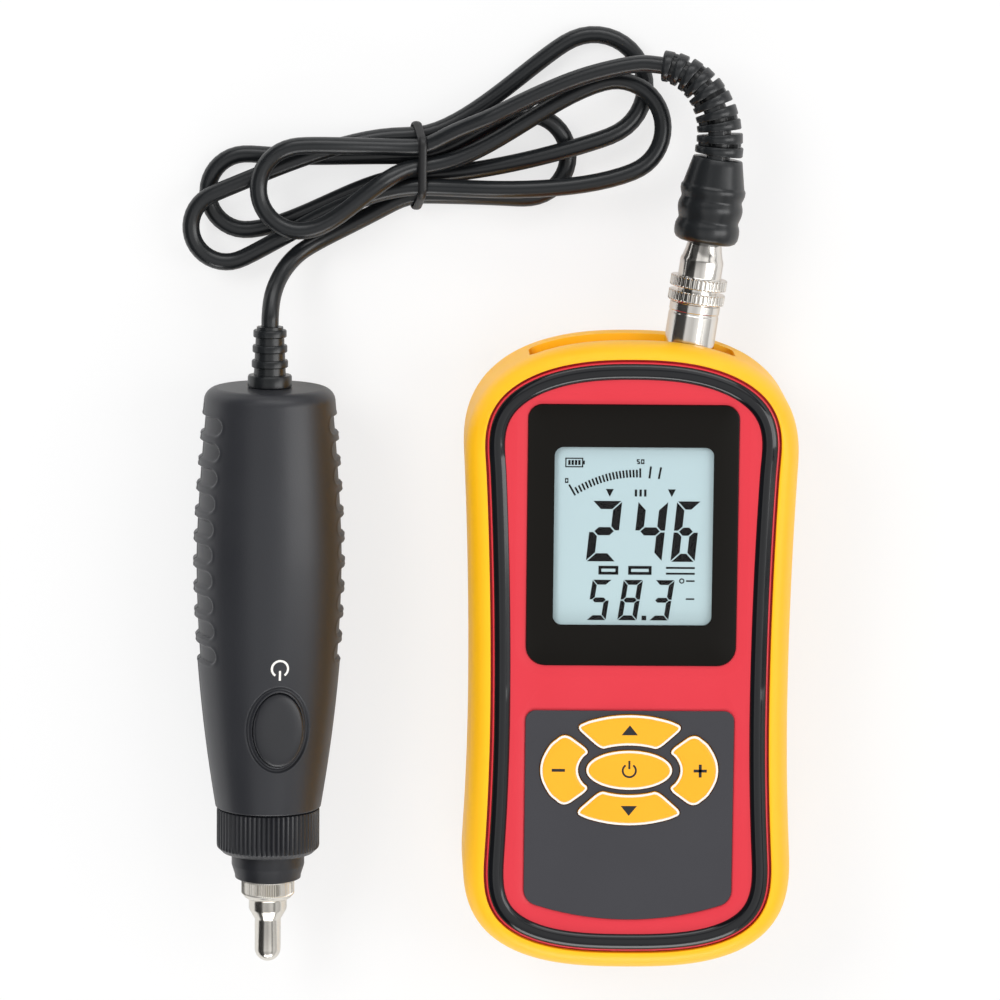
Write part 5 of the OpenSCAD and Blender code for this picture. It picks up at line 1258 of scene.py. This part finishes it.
# What polished faces mirror, as (place, grey): bright screens with dark gaps, across and along the object
ACROSS = ((0.0, 0.5), (0.22, 0.6), (0.25, 0.12), (0.27, 0.05), (0.4, 0.06), (0.415, 0.8), (0.5, 0.6), (0.56, 0.95),
          (0.6, 1.0), (0.61, 0.25), (0.635, 0.25), (0.645, 1.0), (0.75, 0.85), (1.0, 0.5))
ALONG = ((0.0, 0.5), (0.3, 0.5), (0.42, 0.6), (0.46, 0.9), (0.51, 0.8), (0.54, 0.3), (0.575, 0.35), (0.59, 1.0),
         (0.65, 1.0), (0.67, 0.35), (0.8, 0.5), (1.0, 0.5))


def add_stage():
    """Pale floor that shows nearly white to the camera, and the light of a studio with soft boxes."""
    deselect()
    bpy.ops.mesh.primitive_plane_add(size=6, location=(0, 0, -0.0004))
    floor = bpy.context.object
    floor.name = "floor"
    made, tree, place = blank("pale_floor")
    grain = add(tree, "ShaderNodeTexNoise", links={"Vector": place}, inputs={"Scale": 40.0})
    tone = add(tree, "ShaderNodeMapRange", links={"Value": grain.outputs["Fac"]},
               inputs={"To Min": 0.83, "To Max": 0.85})
    matt = add(tree, "ShaderNodeBsdfDiffuse", links={"Color": tone.outputs[0]})
    shown = add(tree, "ShaderNodeEmission", inputs={"Strength": 1.0})
    rays = add(tree, "ShaderNodeLightPath")
    share = add(tree, "ShaderNodeMath", links={0: rays.outputs["Is Camera Ray"]}, inputs={1: 0.72},
                operation="MULTIPLY")
    both = add(tree, "ShaderNodeMixShader",
               links={0: share.outputs[0], 1: matt.outputs[0], 2: shown.outputs[0]})
    close(tree, both)
    floor.data.materials.append(made)

    world = bpy.data.worlds.new("studio")
    bpy.context.scene.world = world
    world.use_nodes = True
    tree = world.node_tree
    tree.nodes.clear()
    rays = add(tree, "ShaderNodeLightPath")
    way = add(tree, "ShaderNodeTexCoord").outputs["Generated"]
    parts = add(tree, "ShaderNodeSeparateXYZ", links={"Vector": way}).outputs
    across = band(tree, direction_angle(tree, parts["X"], parts["Z"]), ACROSS)
    along = band(tree, direction_angle(tree, parts["Y"], parts["Z"]), ALONG)
    mirrored = add(tree, "ShaderNodeMix", data_type="RGBA", blend_type="MULTIPLY",
                   links={6: across, 7: along}, inputs={0: 1.0})
    ambient = add(tree, "ShaderNodeBackground", inputs={"Color": (1, 1, 1, 1), "Strength": 0.55})
    screens = add(tree, "ShaderNodeBackground", links={"Color": mirrored.outputs[2]},
                  inputs={"Strength": 1.35})
    white = add(tree, "ShaderNodeBackground", inputs={"Color": (1, 1, 1, 1), "Strength": 1.0})
    lit = add(tree, "ShaderNodeMixShader",
              links={0: rays.outputs["Is Glossy Ray"], 1: ambient.outputs[0], 2: screens.outputs[0]})
    mix = add(tree, "ShaderNodeMixShader",
              links={0: rays.outputs["Is Camera Ray"], 1: lit.outputs[0], 2: white.outputs[0]})
    add(tree, "ShaderNodeOutputWorld", links={"Surface": mix.outputs[0]})

    def panel(name, place, size, power):
        bpy.ops.object.light_add(type="AREA", location=place)
        lamp = bpy.context.object
        lamp.name = name
        lamp.data.shape, lamp.data.size, lamp.data.size_y = "RECTANGLE", size[0], size[1]
        lamp.data.energy = power
        lamp.rotation_euler = (Vector((-0.03, 0.03, 0.0)) - Vector(place)).to_track_quat("-Z", "Y").to_euler()

    panel("key_left", (-0.75, 0.55, 0.95), (0.7, 0.5), 7.5)
    bpy.context.object.visible_glossy = False
    panel("fill_right", (0.85, 0.1, 0.8), (0.5, 0.9), 4.5)
    panel("end_back", (0.1, 1.0, 0.5), (1.0, 0.35), 2.5)
    panel("end_front", (0.0, -1.05, 0.42), (1.0, 0.4), 5.5)


scene = bpy.context.scene
scene.view_settings.view_transform = "Standard"
add_camera()
cord, cord_length, route = add_cord()
tie = add_tie()
sleeve, shell, grip = add_plug()
add_boot()
add_case_front()
add_trim_ring()
add_window()
add_display()
add_keypad()
add_key_marks()
add_probe_shell("probe_shell_front", True, 220, 380)
add_probe_shell("probe_shell_rear", False, 150, 300)
add_probe_button()
add_nose()
add_contact_tip()
add_probe_mark()
dress_cad_nodes()
add_stage()
